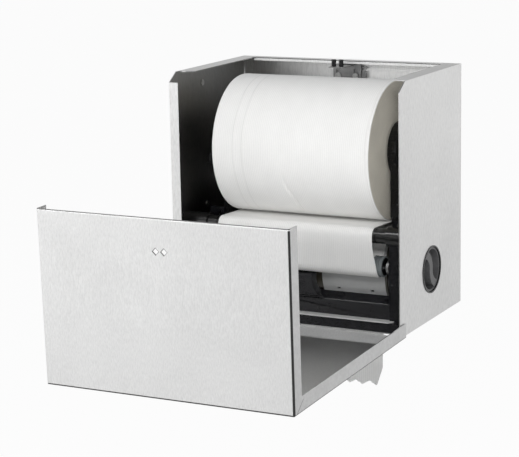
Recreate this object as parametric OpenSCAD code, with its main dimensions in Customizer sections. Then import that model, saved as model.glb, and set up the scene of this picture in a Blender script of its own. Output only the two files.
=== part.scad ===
// Wall-mounted autocut roll towel dispenser, shown with its cover swung open.
// Millimetres, +Z up, +X to the right, +Y into the wall.
// The origin is the middle of the wall screw pattern, on the back face.
// Heights in this file are counted from the cabinet's bottom edge.

/* [Cabinet] */
// Outside width across the two sides
cab_w = 300; // [280:1:340]
// Outside height of the sides
cab_h = 300; // [296:1:340]
// Depth from the wall to the front edge of the sides
cab_d = 198; // [196:1:230]
// Thickness of all sheet steel
sheet = 1.2; // [0.8:0.1:1.5]
// Inward flange along the top of each side
top_flange = 21; // [12:1:24]
// Inward flange down the front of the left side
front_flange = 12; // [6:1:14]
// Inward rear flange of each side, welded to the back
rear_flange = 15; // [8:1:20]
// Depth of the cut front top corner of each side
corner_cut_d = 17.3; // [8:0.1:24]
// Height of the cut front top corner of each side
corner_cut_h = 11.4; // [6:0.1:16]
// Depth of the back's folded top lip
back_lip = 13; // [8:1:14]
// Diameter of the flat rivet heads on the left side
panel_rivet_d = 8; // [6:0.5:10]
// Height of the flat rivet heads on the left side
panel_rivet_t = 1; // [0.6:0.1:1.5]
// Height of the hem turned down at the lip's front
back_hem = 4; // [2:0.5:4]

/* [Wall mount] */
// Distance between the two columns of wall screws
screw_pitch_x = 200; // [140:1:220]
// Distance between the two rows of wall screws
screw_pitch_z = 120; // [80:1:120]
// Height of the middle of the screw pattern
screw_mid_z = 200; // [195:1:205]
// Diameter of a wall screw hole
screw_hole_d = 6.5; // [4:0.5:8]

/* [Cover] */
// Distance of the hinge axis behind the front edge
hinge_back = 8; // [6.5:0.5:10]
// Height of the hinge axis
hinge_z = 7; // [6:0.5:8]
// Angle the cover is swung open
cover_open = 91.7; // [0:0.1:92]
// Depth of the cover's side flanges
cover_flange = 18; // [14:1:24]
// Length of the cover's plate past the hinge axis
cover_tail = 6; // [5:0.5:6.5]
// Outside bend radius of the cover's edges
cover_bend = 2.4; // [1.8:0.1:4]
// Diameter of a hinge pin
hinge_pin_d = 5; // [4:0.5:6]
// Diameter of a hinge washer
hinge_washer_d = 11; // [8:0.5:12]
// Clearance of a diamond key hole round its nose
diamond_gap = 0.35; // [0.2:0.05:0.6]
// Distance between the two diamond key holes
diamond_pitch = 10; // [9:0.5:14]
// Distance from the cover's rear edge to the diamond holes
diamond_back = 36; // [30:1:44]

/* [Paper] */
// Width of the towel roll
roll_w = 205; // [190:1:210]
// Diameter of the towel roll
roll_d = 169; // [150:1:170]
// Inside diameter of the cardboard core
core_bore = 40; // [38:1:44]
// Wall of the cardboard core
core_wall = 1.5; // [1:0.1:3]
// Distance of the roll axis from the wall
roll_y = 105; // [100:1:106]
// Height of the roll axis
roll_z = 206; // [204:1:208]
// Modelled thickness of the paper
paper_t = 0.3; // [0.2:0.05:0.4]
// Distance of the hanging paper tail from the wall
tail_y = 148; // [140:1:152]
// Length of the paper tail below the cabinet
tail_drop = 76; // [40:1:120]
// Bend radius of the paper where it leaves the outlet
tail_bend = 30; // [20:1:34]
// Distance between the torn points of the tail
tear_pitch = 17; // [8:0.5:24]
// Depth of the torn points of the tail
tear_depth = 5; // [1:0.5:8]

/* [Drum and knife] */
// Diameter of the cutting drum
drum_d = 104; // [96:1:106]
// Length of the cutting drum
drum_len = 218; // [214:1:220]
// Wall of the drum shells
drum_wall = 2.5; // [2:0.1:3.5]
// Length of the narrow middle of the drum
waist_len = 47; // [40:1:80]
// Step down to the narrow middle of the drum
waist_step = 5; // [4:0.5:6]
// Distance of the drum axis from the wall
drum_y = 98; // [96:1:99]
// Height of the drum axis
drum_z = 62; // [61:1:64]
// Diameter of the drum shaft
shaft_d = 10; // [8:0.5:12]
// Angle of the knife slot below the front of the drum
slot_angle = 45; // [40:1:52]
// Angle of the row of small square holes below the front
hole_angle = 25.5; // [22:0.5:28]
// Side of a small square hole
hole_side = 4.5; // [3:0.5:5.5]
// Distance between the small square holes
hole_pitch = 44; // [40:1:46]
// Angle round the drum from the slot to the knife pivot
knife_pivot_angle = 55.5; // [50:0.5:60]
// Diameter of the knife shaft
knife_shaft_d = 6; // [5:0.5:7]
// Depth of the resting knife's edge below the drum's surface
knife_sink = 4; // [3.5:0.5:6]
// Height of the knife blade
knife_h = 20; // [16:1:22]
// Thickness of the knife blade
knife_t = 0.8; // [0.6:0.1:1.2]
// Pitch of the knife's teeth
tooth_pitch = 6; // [4:0.5:10]
// Depth of the knife's teeth
tooth_h = 3; // [1:0.5:4]
// Radius of the fixed cam ring's inside
cam_r = 36; // [35:0.5:37]

/* [Feed knob] */
// Diameter of the feed knob
knob_d = 54; // [48:1:56]
// Wall of the bezel round the knob
bezel_wall = 0.75; // [0.6:0.05:0.9]
// Width of the bezel's rim on the outside
bezel_rim = 1; // [0.8:0.1:3]
// Width of the knob's S-shaped grip
grip_w = 10; // [7:0.5:12]

/* [Pinch roller] */
// Diameter of the pinch roller's rubber rings
pinch_d = 25; // [22:0.5:26]
// Diameter of the pinch roller's core
pinch_core_d = 21; // [16:0.5:21.5]
// Diameter of the pinch roller's shaft
pinch_shaft_d = 8; // [6:0.5:9]
// Diameter of the clips on the pinch roller's shaft
pinch_clip_d = 17; // [12:0.5:18]
// Thickness of the clips on the pinch roller's shaft
pinch_clip_t = 3; // [1:0.5:4]
// Width of one rubber ring
ring_w = 12; // [8:0.5:14]
// Angle of the pinch roller above the front of the drum
pinch_angle = 12.2; // [10:0.2:14]
// Travel of the pinch roller away from the drum
pinch_lift = 0.8; // [0.4:0.1:1]

/* [Guide and chassis] */
// Sideways offset of roll and mechanism
mod_x = 4.5; // [0:0.5:5]
// Distance of the guide bar from the wall
guide_y = 168; // [166:1:170]
// Height of the guide bar
guide_z = 114; // [112:1:116]
// Diameter of the guide bar
guide_d = 18; // [14:0.5:20]
// Diameter of the guide bar's end bosses
guide_boss_d = 23; // [21:0.5:24]
// Distance from the middle to a cheek's inner face
cheek_half = 122.5; // [121.5:0.5:124]
// Thickness of a cheek's plate
cheek_t = 3; // [2.5:0.1:4]
// Wall of a cheek's rim
rim_t = 2.5; // [2:0.1:3]
// Height of the cheeks
cheek_h = 95; // [94.5:0.5:97]
// Distance of the cheeks' front from the wall
cheek_front = 175; // [174:0.5:178]
// Distance of the cheeks' back from the wall
cheek_back = 30; // [24:1:34]
// Distance of the chute's face from the wall
chute_front_y = 172; // [170:0.5:173]
// Depth of the chute frame
chute_depth = 14; // [10:0.5:14.5]
// Height of the chute's sill at its front
sill_z = 33; // [26:1:36]
// Rise of the sill towards the drum
sill_rise = 7; // [3:0.5:8]
// Width of the chute's middle pillar
pillar_w = 41; // [30:1:60]
// Height of the top of the middle pillar
pillar_top = 61; // [50:1:61]
// Corner radius of the chute's windows
window_r = 20; // [10:1:22]
// Width of the front rail
rail_w = 272; // [220:1:280]
// Depth of the front rail
rail_d = 15; // [12:0.5:17]
// Height of the front rail
rail_z = 14; // [10:0.5:16]

/* [Roll arms] */
// Radius of an arm's round head
head_r = 34; // [28:1:36]
// Width of an arm's strut
strut_w = 60; // [44:1:62]
// Width of each leg beside the window in an arm's strut
leg_w = 10; // [7:0.5:14]
// Thickness of an arm
arm_t = 8; // [6:0.5:9]
// Gap between the roll's end and an arm
arm_gap = 6; // [4.5:0.5:7]
// Height of the arms' pivot
arm_pivot_z = 121; // [120.5:0.5:123]
// Diameter of the arms' pivot pins
arm_pin_d = 6; // [5:0.5:7]
// Diameter of a hub at the roll's end
hub_d = 36; // [32:0.5:37]
// Depth of a hub's plug inside the core
hub_depth = 10; // [6:0.5:10]
// Narrowing of a hub's plug along its depth
hub_taper = 4; // [3:0.5:6]
// Diameter of a hub's stub shaft
stub_d = 18; // [14:0.5:20]
// Depth of the round recess in an arm's head
head_recess = 4; // [3:0.5:5]

/* [Latch] */
// Width of the latch bracket
latch_w = 44; // [40:1:50]
// Travel of the latch when pressed
latch_travel = 7; // [5:0.5:7]
// Side of a diamond nose
nose_side = 4.6; // [3.4:0.1:4.7]
// Width of the slider's edge round the noses
nose_margin = 5; // [4:0.5:8]
// Sideways offset of the latch bracket
bracket_off = 4; // [0:0.5:5]
// Height that the noses stand above the closed cover
nose_proud = 2; // [0.5:0.5:3]

/* [Fits] */
// Gap between pieces that pass each other
gap = 0.3; // [0.2:0.05:0.4]
// Radial clearance of a turning fit
run = 0.05; // [0.02:0.01:0.08]

/* [Hidden] */
$fn = 96;
eps = 0.01;

// Colours as the photo shows them
steel = "#c6c7c8";
steel_shade = "#9c9d9e";
black = "#191a1c";
dark = "#333437";
drum_white = "#dddedc";
paper_white = "#efeeea";
board = "#a39d8c";
rubber = "#70777c";
spring_steel = "#8d9093";

// Cabinet planes
half_w = cab_w / 2;
inner_x = half_w - sheet;
front_y = -cab_d;
hinge_y = front_y + hinge_back;

// Inside planes of the shut cover; its inside bends clear the cabinet's square edges by the gap
bend_in = cover_bend - sheet;
cover_gap = gap + (bend_in - gap) * (1 - 1 / sqrt(2));
cover_w = half_w + cover_gap;
cover_y = front_y - cover_gap;
cover_z = cab_h + cover_gap;

// Roll and drum places, as [y, z]
roll_at = [-roll_y, roll_z];
drum_at = [-drum_y, drum_z];
roll_r = roll_d / 2;
drum_r = drum_d / 2;
roll_x0 = mod_x - roll_w / 2;
roll_x1 = mod_x + roll_w / 2;
drum_x0 = mod_x - drum_len / 2;
drum_x1 = mod_x + drum_len / 2;
core_r = core_bore / 2;

// Right cheek planes; the left one is its mirror image about mod_x
cheek_x = mod_x + cheek_half;
cheek_out = cheek_x + cheek_t;
left_cheek_x = mod_x - cheek_half;
left_cheek_out = left_cheek_x - cheek_t;

// Pinch roller
pinch_r = pinch_d / 2;
nip = paper_t + 2 * gap;
pinch_dist = drum_r + nip + pinch_r;
pinch_dir = [-cos(pinch_angle), sin(pinch_angle)];
pinch_at = drum_at + pinch_dist * pinch_dir;
pinch_up = [sin(pinch_angle), cos(pinch_angle)];
block_side = 14;
peg_off = [4, 4.5];
peg_r = 1.5;
post_run = 32;
block_x0 = cheek_x - 1.5;
block_x1 = cheek_out + 1.5;
peg_x1 = block_x1 + 6.5;

// Guide bar
guide_at = [-guide_y, guide_z];
guide_r = guide_d / 2;
boss_r = guide_boss_d / 2;
boss_lead = 3.5;

// Knife, in the drum's own frame with u along the slot
slot_turn = 180 + slot_angle;
cap_t = 4;
knife_len = drum_len - 2 * cap_t - 2;
knife_reach = drum_r - knife_sink;
waist_d = drum_d - 2 * waist_step;
slot_len = knife_len + 2;
slot_v0 = -10.5;
slot_v1 = 2;
knife_hub_d = knife_shaft_d + 4;
pivot_r = waist_d / 2 - drum_wall - knife_hub_d / 2 - 2 * gap;
pivot_uv = polar([0, 0], pivot_r, -knife_pivot_angle);

// Hubs and arms, right side
hub_r = hub_d / 2;
hub_at = roll_at + [0, core_r - hub_r - gap];
collar_x0 = roll_x1 + gap;
collar_t = arm_gap - 4;
arm_x0 = collar_x0 + collar_t + gap;
arm_x1 = arm_x0 + 4 + arm_t;
strut_x0 = arm_x1 - arm_t;
clip_t = 1.7;
clip_d = stub_d + 9;
clip_x0 = arm_x1 - head_recess + gap;
stub_x1 = clip_x0 + clip_t + 0.5;
recess_d = clip_d + 5;
arm_pin_x = arm_x1 + 3;
knuckle_r = arm_pin_d / 2 + 3;
ear_t = 5;
strut_y0 = -roll_y - strut_w / 2;
strut_y1 = -roll_y + strut_w / 2;
arm_wire = 1.2;
arm_coil_r = 6;
arm_spring_z = hub_at[1] - recess_d / 2 - arm_coil_r - arm_wire - 3;

// Latch planes
plate_top = cover_z + sheet;
cover_rear = -0.5;
nose_y = cover_rear - diamond_back;
diamond_side = nose_side + 2 * diamond_gap;
nose_top = plate_top + nose_proud;
bracket_y = -5;
slider_y = bracket_y - sheet - gap;
rivet_z = cab_h - 20;
rivet_x = 12;
slider_top = cab_h - back_hem - 1.1;
shelf_z = cab_h - 44;
tab_z = cab_h - 26;

// Drum hardware on the left
crank_x0 = left_cheek_out - 2;
crank_t = 5;
crank_arm = 14;
crank_turn = -30;
spring_post_run = 62;
spring_x = crank_x0 - crank_t - 4;

// Points and vectors
function unit(v) = v / norm(v);
function polar(c, r, a) = c + r * [cos(a), sin(a)];
function strip(a, b, w) =
    let (d = unit(b - a), n = [-d[1], d[0]] * w / 2)
    [a + n, b + n, b - n, a - n];

// An arc as a list of points, from angle a to angle b
function arc(c, r, a, b, step = 5) =
    let (n = max(2, ceil(abs(b - a) / step)))
    [for (i = [0:n]) polar(c, r, a + (b - a) * i / n)];

// Outline of a strip of thickness t along a path in one plane
function side_of(p, i, s) =
    let (a = p[max(i - 1, 0)], b = p[min(i + 1, len(p) - 1)], d = unit(b - a))
    p[i] + s * [-d[1], d[0]];
function ribbon(p, t) = concat(
    [for (i = [0:len(p) - 1]) side_of(p, i, t / 2)],
    [for (i = [len(p) - 1:-1:0]) side_of(p, i, -t / 2)]);

// Wire paths
function tangents(p) = [for (i = [0:len(p) - 1]) unit(p[min(i + 1, len(p) - 1)] - p[max(i - 1, 0)])];
function across(n, t) = unit(n - (n * t) * t);
function side_start(t) = across(abs(t[0]) < 0.8 ? [1, 0, 0] : [0, 1, 0], t);
function frames(t) = [for (i = 0, n = side_start(t[0]); i < len(t);
    n = across(n, t[min(i + 1, len(t) - 1)]), i = i + 1) n];
function helix(r, z0, z1, turns) = [for (i = [0:8 * turns])
    let (a = 45 * i) [r * cos(a), r * sin(a), z0 + (z1 - z0) * i / (8 * turns)]];
function wire_gap(p, d, skip = 7) = min([for (i = [0:len(p) - 1 - skip]) for (j = [i + skip:len(p) - 1])
    norm(p[i] - p[j])]) - d;

// A hooked extension spring's path from [0, 0, 0] to [0, 0, l]
function hook_path(l, r, hook, turns, lead) = concat(
    [for (a = [170:30:350]) hook * [cos(a), 0, sin(a)]],
    [[hook, 0, hook]],
    helix(r, lead, l - lead, turns),
    [[hook, 0, l - hook]],
    [for (a = [10:30:190]) [hook * cos(a), 0, l + hook * sin(a)]]);

// Frame helpers: y and z drawn flat, swept along X, or x and z drawn flat, swept along Y
module from_mount() {
    translate([0, 0, -screw_mid_z]) children();
}

module along_x(x0, x1) {
    translate([x0, 0, 0]) rotate([90, 0, 90]) linear_extrude(x1 - x0) children();
}

module along_y(y0, y1) {
    translate([0, y1, 0]) rotate([90, 0, 0]) linear_extrude(y1 - y0) children();
}

module box(x0, x1, y0, y1, z0, z1) {
    translate([x0, y0, z0]) cube([x1 - x0, y1 - y0, z1 - z0]);
}

module rod_x(d, x0, x1, at) {
    translate([x0, at[0], at[1]]) rotate([0, 90, 0]) cylinder(d = d, h = x1 - x0);
}

module cone_x(d0, d1, x0, x1, at) {
    translate([x0, at[0], at[1]]) rotate([0, 90, 0]) cylinder(d1 = d0, d2 = d1, h = x1 - x0);
}

module rod_y(d, y0, y1, x, z) {
    translate([x, y1, z]) rotate([90, 0, 0]) cylinder(d = d, h = y1 - y0);
}

module tube_x(d, bore, x0, x1, at) {
    difference() {
        rod_x(d, x0, x1, at);
        rod_x(bore, x0 - 1, x1 + 1, at);
    }
}

module mirrored() {
    translate([2 * mod_x, 0, 0]) mirror([1, 0, 0]) children();
}

module flip_x() {
    mirror([1, 0, 0]) children();
}

module both_sides() {
    children();
    mirrored() children();
}

// The drum's frame, drawn flat with u along the slot and v to its left
module slot_frame() {
    translate(drum_at) rotate(slot_turn) children();
}

// One unbroken six-sided wire along a path
module wire(p, d) {
    t = tangents(p);
    n = frames(t);
    m = len(p);
    ring_points = [for (i = [0:m - 1]) for (k = [0:5])
        p[i] + d / 2 * (cos(60 * k) * n[i] + sin(60 * k) * cross(t[i], n[i]))];
    walls = [for (i = [0:m - 2]) for (k = [0:5]) for (f = [
        [6 * i + k, 6 * i + 6 + k, 6 * i + (k + 1) % 6],
        [6 * i + (k + 1) % 6, 6 * i + 6 + k, 6 * i + 6 + (k + 1) % 6]]) f];
    first = [for (k = [1:4]) [0, k, k + 1]];
    last = [for (k = [1:4]) [6 * (m - 1), 6 * (m - 1) + k + 1, 6 * (m - 1) + k]];
    polyhedron(ring_points, concat(walls, first, last));
}

// Cabinet

module back_panel() {
    color(steel)
    difference() {
        union() {
            box(-half_w, half_w, -sheet, 0, 0, cab_h);
            box(-lip_half(), lip_half(), -back_lip, 0, cab_h - sheet, cab_h);
            box(-lip_half(), lip_half(), -back_lip, -back_lip + sheet, cab_h - back_hem, cab_h);
        }
        for (sx = [-1, 1]) for (sz = [-1, 1])
            rod_y(screw_hole_d, -sheet - 1, 1, sx * screw_pitch_x / 2, screw_mid_z + sz * screw_pitch_z / 2);
    }
}

function lip_half() = half_w - top_flange - gap;

// Side outline, with a round corner at the hinge that clears the swinging cover
module side_outline(y1) {
    difference() {
        polygon([[front_y, 0], [y1, 0], [y1, cab_h], [front_y + corner_cut_d, cab_h],
            [front_y, cab_h - corner_cut_h]]);
        difference() {
            translate([front_y - 1, -1]) square([hinge_back + 1, hinge_z + 1]);
            translate([hinge_y, hinge_z]) circle(hinge_back);
        }
    }
}

// Right-hand side sheet with its top and rear flanges and hinge hole
module side_sheet() {
    flange_front = front_y + corner_cut_d + 6;
    difference() {
        along_x(inner_x, half_w) side_outline(-sheet);
        rod_x(hinge_pin_d + 2 * run, inner_x - 1, half_w + 1, [hinge_y, hinge_z]);
    }
    translate([0, 0, cab_h - sheet])
        linear_extrude(sheet)
            polygon([[half_w, flange_front], [half_w - top_flange / 2, flange_front],
                [half_w - top_flange, flange_front + 6], [half_w - top_flange, -sheet], [half_w, -sheet]]);
    box(half_w - rear_flange, half_w, -2 * sheet, -sheet, 0, cab_h);
}

module right_side_panel() {
    color(steel)
    difference() {
        side_sheet();
        rod_x(bezel_d() + 2 * run, inner_x - 1, half_w + 1, drum_at);
    }
}

module left_side_panel() {
    color(steel) {
        flip_x() side_sheet();
        box(-half_w, -half_w + front_flange, front_y, front_y + sheet, hinge_z + hinge_back, cab_h - corner_cut_h);
    }
}

// Flat rivet heads on the inside of the left panel
module panel_rivets() {
    color(steel_shade)
    for (at = [[-roll_y - 12, cab_h - top_flange], [-roll_y - 6, arm_pivot_z + 3.5]])
        rod_x(panel_rivet_d, -inner_x, -inner_x + panel_rivet_t, at);
}

pan_front = hinge_y + hinge_back - 1.3;
outlet_y0 = -tail_y - 15;
outlet_y1 = -tail_y + 21;
outlet_half = roll_w / 2 + 8;
foot_y = [-cheek_front + 12, -cheek_back - 14];
foot_x = (cheek_out + inner_x) / 2;
foot_w = 11;
foot_h = 11;
foot_screw_d = 4;
foot_head_t = 2.2;

module bottom_pan() {
    color(steel)
    difference() {
        box(-inner_x, inner_x, pan_front, -2 * sheet, 0, sheet);
        box(mod_x - outlet_half, mod_x + outlet_half, outlet_y0, outlet_y1, -1, sheet + 1);
        both_sides() for (y = foot_y)
            translate([foot_x, y, -1]) cylinder(d = foot_screw_d + 2 * gap, h = sheet + 2);
    }
}

// Flat rail with cut corners, deeper between the cheeks where the chute stands on it
module front_rail() {
    cut = rail_d / 3;
    y1 = -cheek_front - gap;
    half = rail_w / 2 - rail_d / 2;
    color(steel)
    translate([0, 0, rail_z - sheet]) linear_extrude(sheet) {
        translate([mod_x, 0]) polygon([[-half + cut, pan_front], [half - cut, pan_front],
            [half, pan_front + cut], [half, y1], [-half, y1], [-half, pan_front + cut]]);
        translate([left_cheek_x + gap, pan_front + cut])
            square([cheek_x - left_cheek_x - 2 * gap, rail_d - cut]);
    }
}

// Bar under the rail
module rail_base() {
    color(black)
    box(mod_x - rail_w / 2, mod_x + rail_w / 2, pan_front + sheet, -cheek_front - gap, sheet, rail_z - sheet);
}

// Cover, drawn shut and then swung open about its hinge

module swung() {
    translate([0, hinge_y, hinge_z]) rotate([cover_open, 0, 0]) translate([0, -hinge_y, -hinge_z]) children();
}

// A rectangle with two round corners on the side where v is lowest
module soft_front(u0, u1, v0, v1, r) {
    translate([u0, v0 + r]) square([u1 - u0, v1 - v0 - r]);
    translate([u0 + r, v0]) square([u1 - u0 - 2 * r, r + eps]);
    for (u = [u0 + r, u1 - r]) translate([u, v0 + r]) circle(r);
}

// The block that a folded shell of width 2w, front y0 and top z1 would fill
module fold_block(w, y0, z1, r) {
    z0 = hinge_z - cover_tail - 1;
    intersection() {
        translate([0, 0, z0]) linear_extrude(z1 - z0 + 1) soft_front(-w, w, y0, 2, r);
        along_y(y0 - 1, 2) mirror([0, 1]) soft_front(-w, w, -z1, -z0 + 1, r);
        along_x(-w - 1, w + 1) {
            translate([y0, z0]) square([2 - y0, z1 - z0 - r]);
            translate([y0 + r, z0]) square([2 - y0 - r, z1 - z0]);
            translate([y0 + r, z1 - r]) circle(r);
        }
    }
}

module front_cover() {
    color(steel)
    swung()
    difference() {
        fold_block(cover_w + sheet, cover_y - sheet, cover_z + sheet, cover_bend);
        fold_block(cover_w, cover_y, cover_z, bend_in);
        // What lies behind the front flanges and under the top flanges is open
        box(-cab_w, cab_w, cover_y - sheet + cover_flange, 3, -cab_h, cover_z + sheet - cover_flange);
        box(-cab_w, cab_w, cover_rear, 4, -cab_h, cab_h + 10);
        box(-cab_w, cab_w, -2 * cab_d, 3, -cab_h, hinge_z - cover_tail);
        for (s = [-1, 1])
            translate([s * diamond_pitch / 2, nose_y, cab_h - 5]) rotate(45)
                translate([-diamond_side / 2, -diamond_side / 2, 0]) cube([diamond_side, diamond_side, 10]);
    }
}

module hinge_pins() {
    color(steel_shade)
    for (s = [0, 1]) mirror([s, 0, 0])
        rod_x(hinge_pin_d, inner_x - 3, cover_w, [hinge_y, hinge_z]);
}

module hinge_washers() {
    color(steel_shade)
    for (s = [0, 1]) mirror([s, 0, 0])
        tube_x(hinge_washer_d, hinge_pin_d + 0.04, inner_x - gap - 1.5, inner_x - gap, [hinge_y, hinge_z]);
}

// Latch at the top of the back

module lock_bracket() {
    mid = bracket_off;
    color(steel_shade)
    difference() {
        union() {
            box(mid - latch_w / 2, mid + latch_w / 2, bracket_y - sheet, bracket_y, shelf_z, cab_h - 8);
            box(-8, 8, bracket_y - 11, bracket_y, shelf_z - sheet, shelf_z);
            for (s = [-1, 1]) rod_y(8, bracket_y - eps, -sheet, mid + s * (latch_w / 2 - 6), shelf_z + 8);
        }
        for (s = [-1, 1]) {
            rod_y(5 + 0.04, bracket_y - 3, bracket_y + 1, s * rivet_x, rivet_z);
            // Slots at the top corners and round notches low on the edges
            box(mid + s * (latch_w / 2 - 4) - 4, mid + s * (latch_w / 2 - 4) + 4, bracket_y - 3, bracket_y + 1,
                cab_h - 13, cab_h - 10);
            rod_y(6, bracket_y - 3, bracket_y + 1, mid + s * latch_w / 2, shelf_z + 20);
        }
    }
}

module latch_rivets() {
    color(steel)
    for (s = [-1, 1]) {
        rod_y(5, slider_y - sheet - gap, bracket_y, s * rivet_x, rivet_z);
        rod_y(8, slider_y - sheet - gap - 1.2, slider_y - sheet - gap, s * rivet_x, rivet_z);
    }
}

module latch_slider() {
    arm_w = diamond_pitch + 2 * nose_margin;
    color(steel_shade)
    difference() {
        union() {
            box(-latch_w / 2 + 3, latch_w / 2 - 3, slider_y - sheet, slider_y, tab_z, slider_top);
            box(-arm_w / 2, arm_w / 2, nose_y - nose_margin, slider_y, slider_top - sheet, slider_top);
            box(-8, 8, bracket_y - 11, slider_y, tab_z, tab_z + sheet);
        }
        for (s = [-1, 1]) {
            rod_y(5 + 2 * gap, slider_y - 3, slider_y + 1, s * rivet_x, rivet_z);
            rod_y(5 + 2 * gap, slider_y - 3, slider_y + 1, s * rivet_x, rivet_z + latch_travel);
            box(s * rivet_x - 2.5 - gap, s * rivet_x + 2.5 + gap, slider_y - 3, slider_y + 1,
                rivet_z, rivet_z + latch_travel);
        }
    }
}

module latch_noses() {
    color(black)
    for (s = [-1, 1])
        translate([s * diamond_pitch / 2, nose_y, slider_top]) rotate(45)
            translate([-nose_side / 2, -nose_side / 2, 0]) cube([nose_side, nose_side, nose_top - slider_top]);
}

latch_wire = 0.9;
latch_coil = helix(3, latch_wire / 2, tab_z - shelf_z - latch_wire / 2, 5);

module latch_spring() {
    color(spring_steel)
    translate([0, bracket_y - 6.5, shelf_z]) wire(latch_coil, latch_wire);
}

// Chassis

// Slot for a pinch bearing block, drawn flat
module block_slot(side, extra) {
    translate(pinch_at) rotate(180 - pinch_angle)
        translate([-side / 2 - extra[0], -side / 2 - extra[2]])
            square([side + extra[0] + extra[1], side + 2 * extra[2]]);
}

function slide_point(s, t) = pinch_at - s * pinch_dir + t * pinch_up;
peg_at = slide_point(peg_off[0], peg_off[1]);
post_at = slide_point(post_run, peg_off[1]);

// One cheek: a plate with a rim that reaches the side panel at x1
module cheek(x1) {
    y0 = -cheek_front;
    y1 = -cheek_back;
    seat_x1 = x1 - 3;
    difference() {
        union() {
            difference() {
                box(cheek_x, x1, y0, y1, sheet, cheek_h);
                box(cheek_out, x1 + 1, y0 + rim_t, y1 - rim_t, sheet + rim_t, cheek_h - rim_t);
            }
            for (y = foot_y) box(cheek_out - eps, x1, y - foot_w / 2, y + foot_w / 2, sheet, sheet + foot_h);
            rod_x(2 * peg_r, cheek_out - 1, peg_x1, post_at);
            // Ears for the arm pivot
            for (y = [strut_y0 - gap - ear_t, strut_y1 + gap])
                box(arm_pin_x - knuckle_r, max(arm_pin_x + knuckle_r, cheek_out + 8), y, y + ear_t,
                    cheek_h - 1, arm_pivot_z + knuckle_r);
            // Saddle under the guide bar's boss
            box(cheek_x, seat_x1, y0, y0 + 16, cheek_h - 1, guide_z - boss_r / 2);
        }
        rod_x(bush_d() + 2 * run, cheek_x - 1, cheek_out + 1, drum_at);
        rod_x(guide_boss_d + 2 * run, cheek_x - 1, x1 + 1, guide_at);
        along_x(cheek_x - 1, cheek_out + 1) block_slot(block_side, [0.2, pinch_lift + 0.2, 0.1]);
        rod_y(arm_pin_d + 2 * run, -cab_d, 0, arm_pin_x, arm_pivot_z);
        for (y = foot_y) translate([foot_x, y, 0]) cylinder(d = foot_screw_d + 0.04, h = foot_h + 2 * sheet);
    }
}

function bush_d() = shaft_d + 6;
function bezel_d() = knob_d + 2 * (gap + bezel_wall);

module right_cheek() {
    color(black) cheek(inner_x - gap);
}

// The left cheek also carries the post of the drum's return spring
module left_cheek() {
    color(black) {
        mirrored() cheek(inner_x - gap + 2 * mod_x);
        rod_x(crank_pin_d, spring_x - 4, left_cheek_out + 1, spring_post_at);
    }
}

spring_post_at = polar(drum_at, spring_post_run, crank_turn);

// Front frame: a sill that slopes up towards the drum, and the middle pillar with round lower corners
module chute_frame() {
    y0 = -chute_front_y;
    y1 = y0 + chute_depth;
    corner_x = pillar_w / 2 + window_r;
    corner_z = sill_z + window_r;
    color(black) {
        along_x(left_cheek_x, cheek_x)
            polygon([[y0, rail_z], [y1, rail_z], [y1, sill_z + sill_rise], [y0, sill_z]]);
        along_y(y0, y1) translate([mod_x, 0]) difference() {
            translate([-corner_x, sill_z - 1]) square([2 * corner_x, pillar_top - sill_z + 1]);
            for (s = [-1, 1]) translate([s * corner_x, corner_z]) circle(window_r);
            for (s = [-1, 1]) translate([s * corner_x - window_r, corner_z]) square([2 * window_r, pillar_top]);
        }
    }
}

module rear_plate() {
    color(black)
    box(left_cheek_x, cheek_x, -cheek_back - cheek_t, -cheek_back, sheet, cheek_h - 5);
}

// Plastic collar that lines the outlet slot
module outlet_collar() {
    w = outlet_half;
    color(black)
    difference() {
        union() {
            box(mod_x - w + gap, mod_x + w - gap, outlet_y0 + gap, outlet_y1 - gap, -2, sheet);
            box(mod_x - w - 4, mod_x + w + 4, outlet_y0 - 4, outlet_y1 + 4, -2, 0);
        }
        box(mod_x - w + 2, mod_x + w - 2, outlet_y0 + 2, outlet_y1 - 2, -3, sheet + 1);
    }
}

module chassis_screws() {
    color(steel)
    both_sides() for (y = foot_y) {
        translate([foot_x, y, -eps]) cylinder(d = foot_screw_d, h = foot_h - 1);
        translate([foot_x, y, -foot_head_t]) cylinder(d = 2 * foot_screw_d, h = foot_head_t);
    }
}

module guide_bar() {
    groove = 1;
    color(black)
    difference() {
        union() {
            rod_x(guide_d, -inner_x, inner_x, guide_at);
            rod_x(guide_boss_d, cheek_x - boss_lead, inner_x, guide_at);
            rod_x(guide_boss_d, -inner_x, left_cheek_x + boss_lead, guide_at);
        }
        both_sides() tube_x(guide_d + 2, guide_d - 2 * groove, roll_x1 + 2, roll_x1 + 3.5, guide_at);
    }
}

module knob_bezel() {
    color(black) {
        tube_x(bezel_d(), bezel_d() - 2 * bezel_wall, half_w - 10, half_w + 0.8, drum_at);
        tube_x(bezel_d() + 2 * bezel_rim, bezel_d() - eps, half_w, half_w + 0.8, drum_at);
    }
}

module drum_bushes() {
    color(drum_white)
    both_sides() difference() {
        union() {
            rod_x(bush_d(), cheek_x, cheek_out, drum_at);
            rod_x(bush_d() + 5, cheek_x - 2, cheek_x, drum_at);
        }
        rod_x(shaft_d + 2 * run, cheek_x - 3, cheek_out + 1, drum_at);
    }
}

// Fixed ring that the knife's follower runs inside
module knife_cam() {
    color(dark)
    tube_x(2 * (cam_r + 4), 2 * cam_r, left_cheek_x, left_cheek_x + 6, drum_at);
}

// Drum

module knife_slot() {
    along_x(mod_x - slot_len / 2, mod_x + slot_len / 2)
        slot_frame() translate([drum_r / 2, slot_v0]) square([drum_r, slot_v1 - slot_v0]);
}

// A shell from x0 to x1 with the knife slot and the row of small square holes
module drum_shell(x0, x1) {
    difference() {
        tube_x(drum_d, drum_d - 2 * drum_wall, x0, x1, drum_at);
        knife_slot();
        for (k = [-2:2]) translate([mod_x + k * hole_pitch, -drum_y, drum_z]) rotate([hole_angle, 0, 0])
            translate([-hole_side / 2, -drum_r - 1, -hole_side / 2]) cube([hole_side, drum_wall + 3, hole_side]);
    }
}

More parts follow.
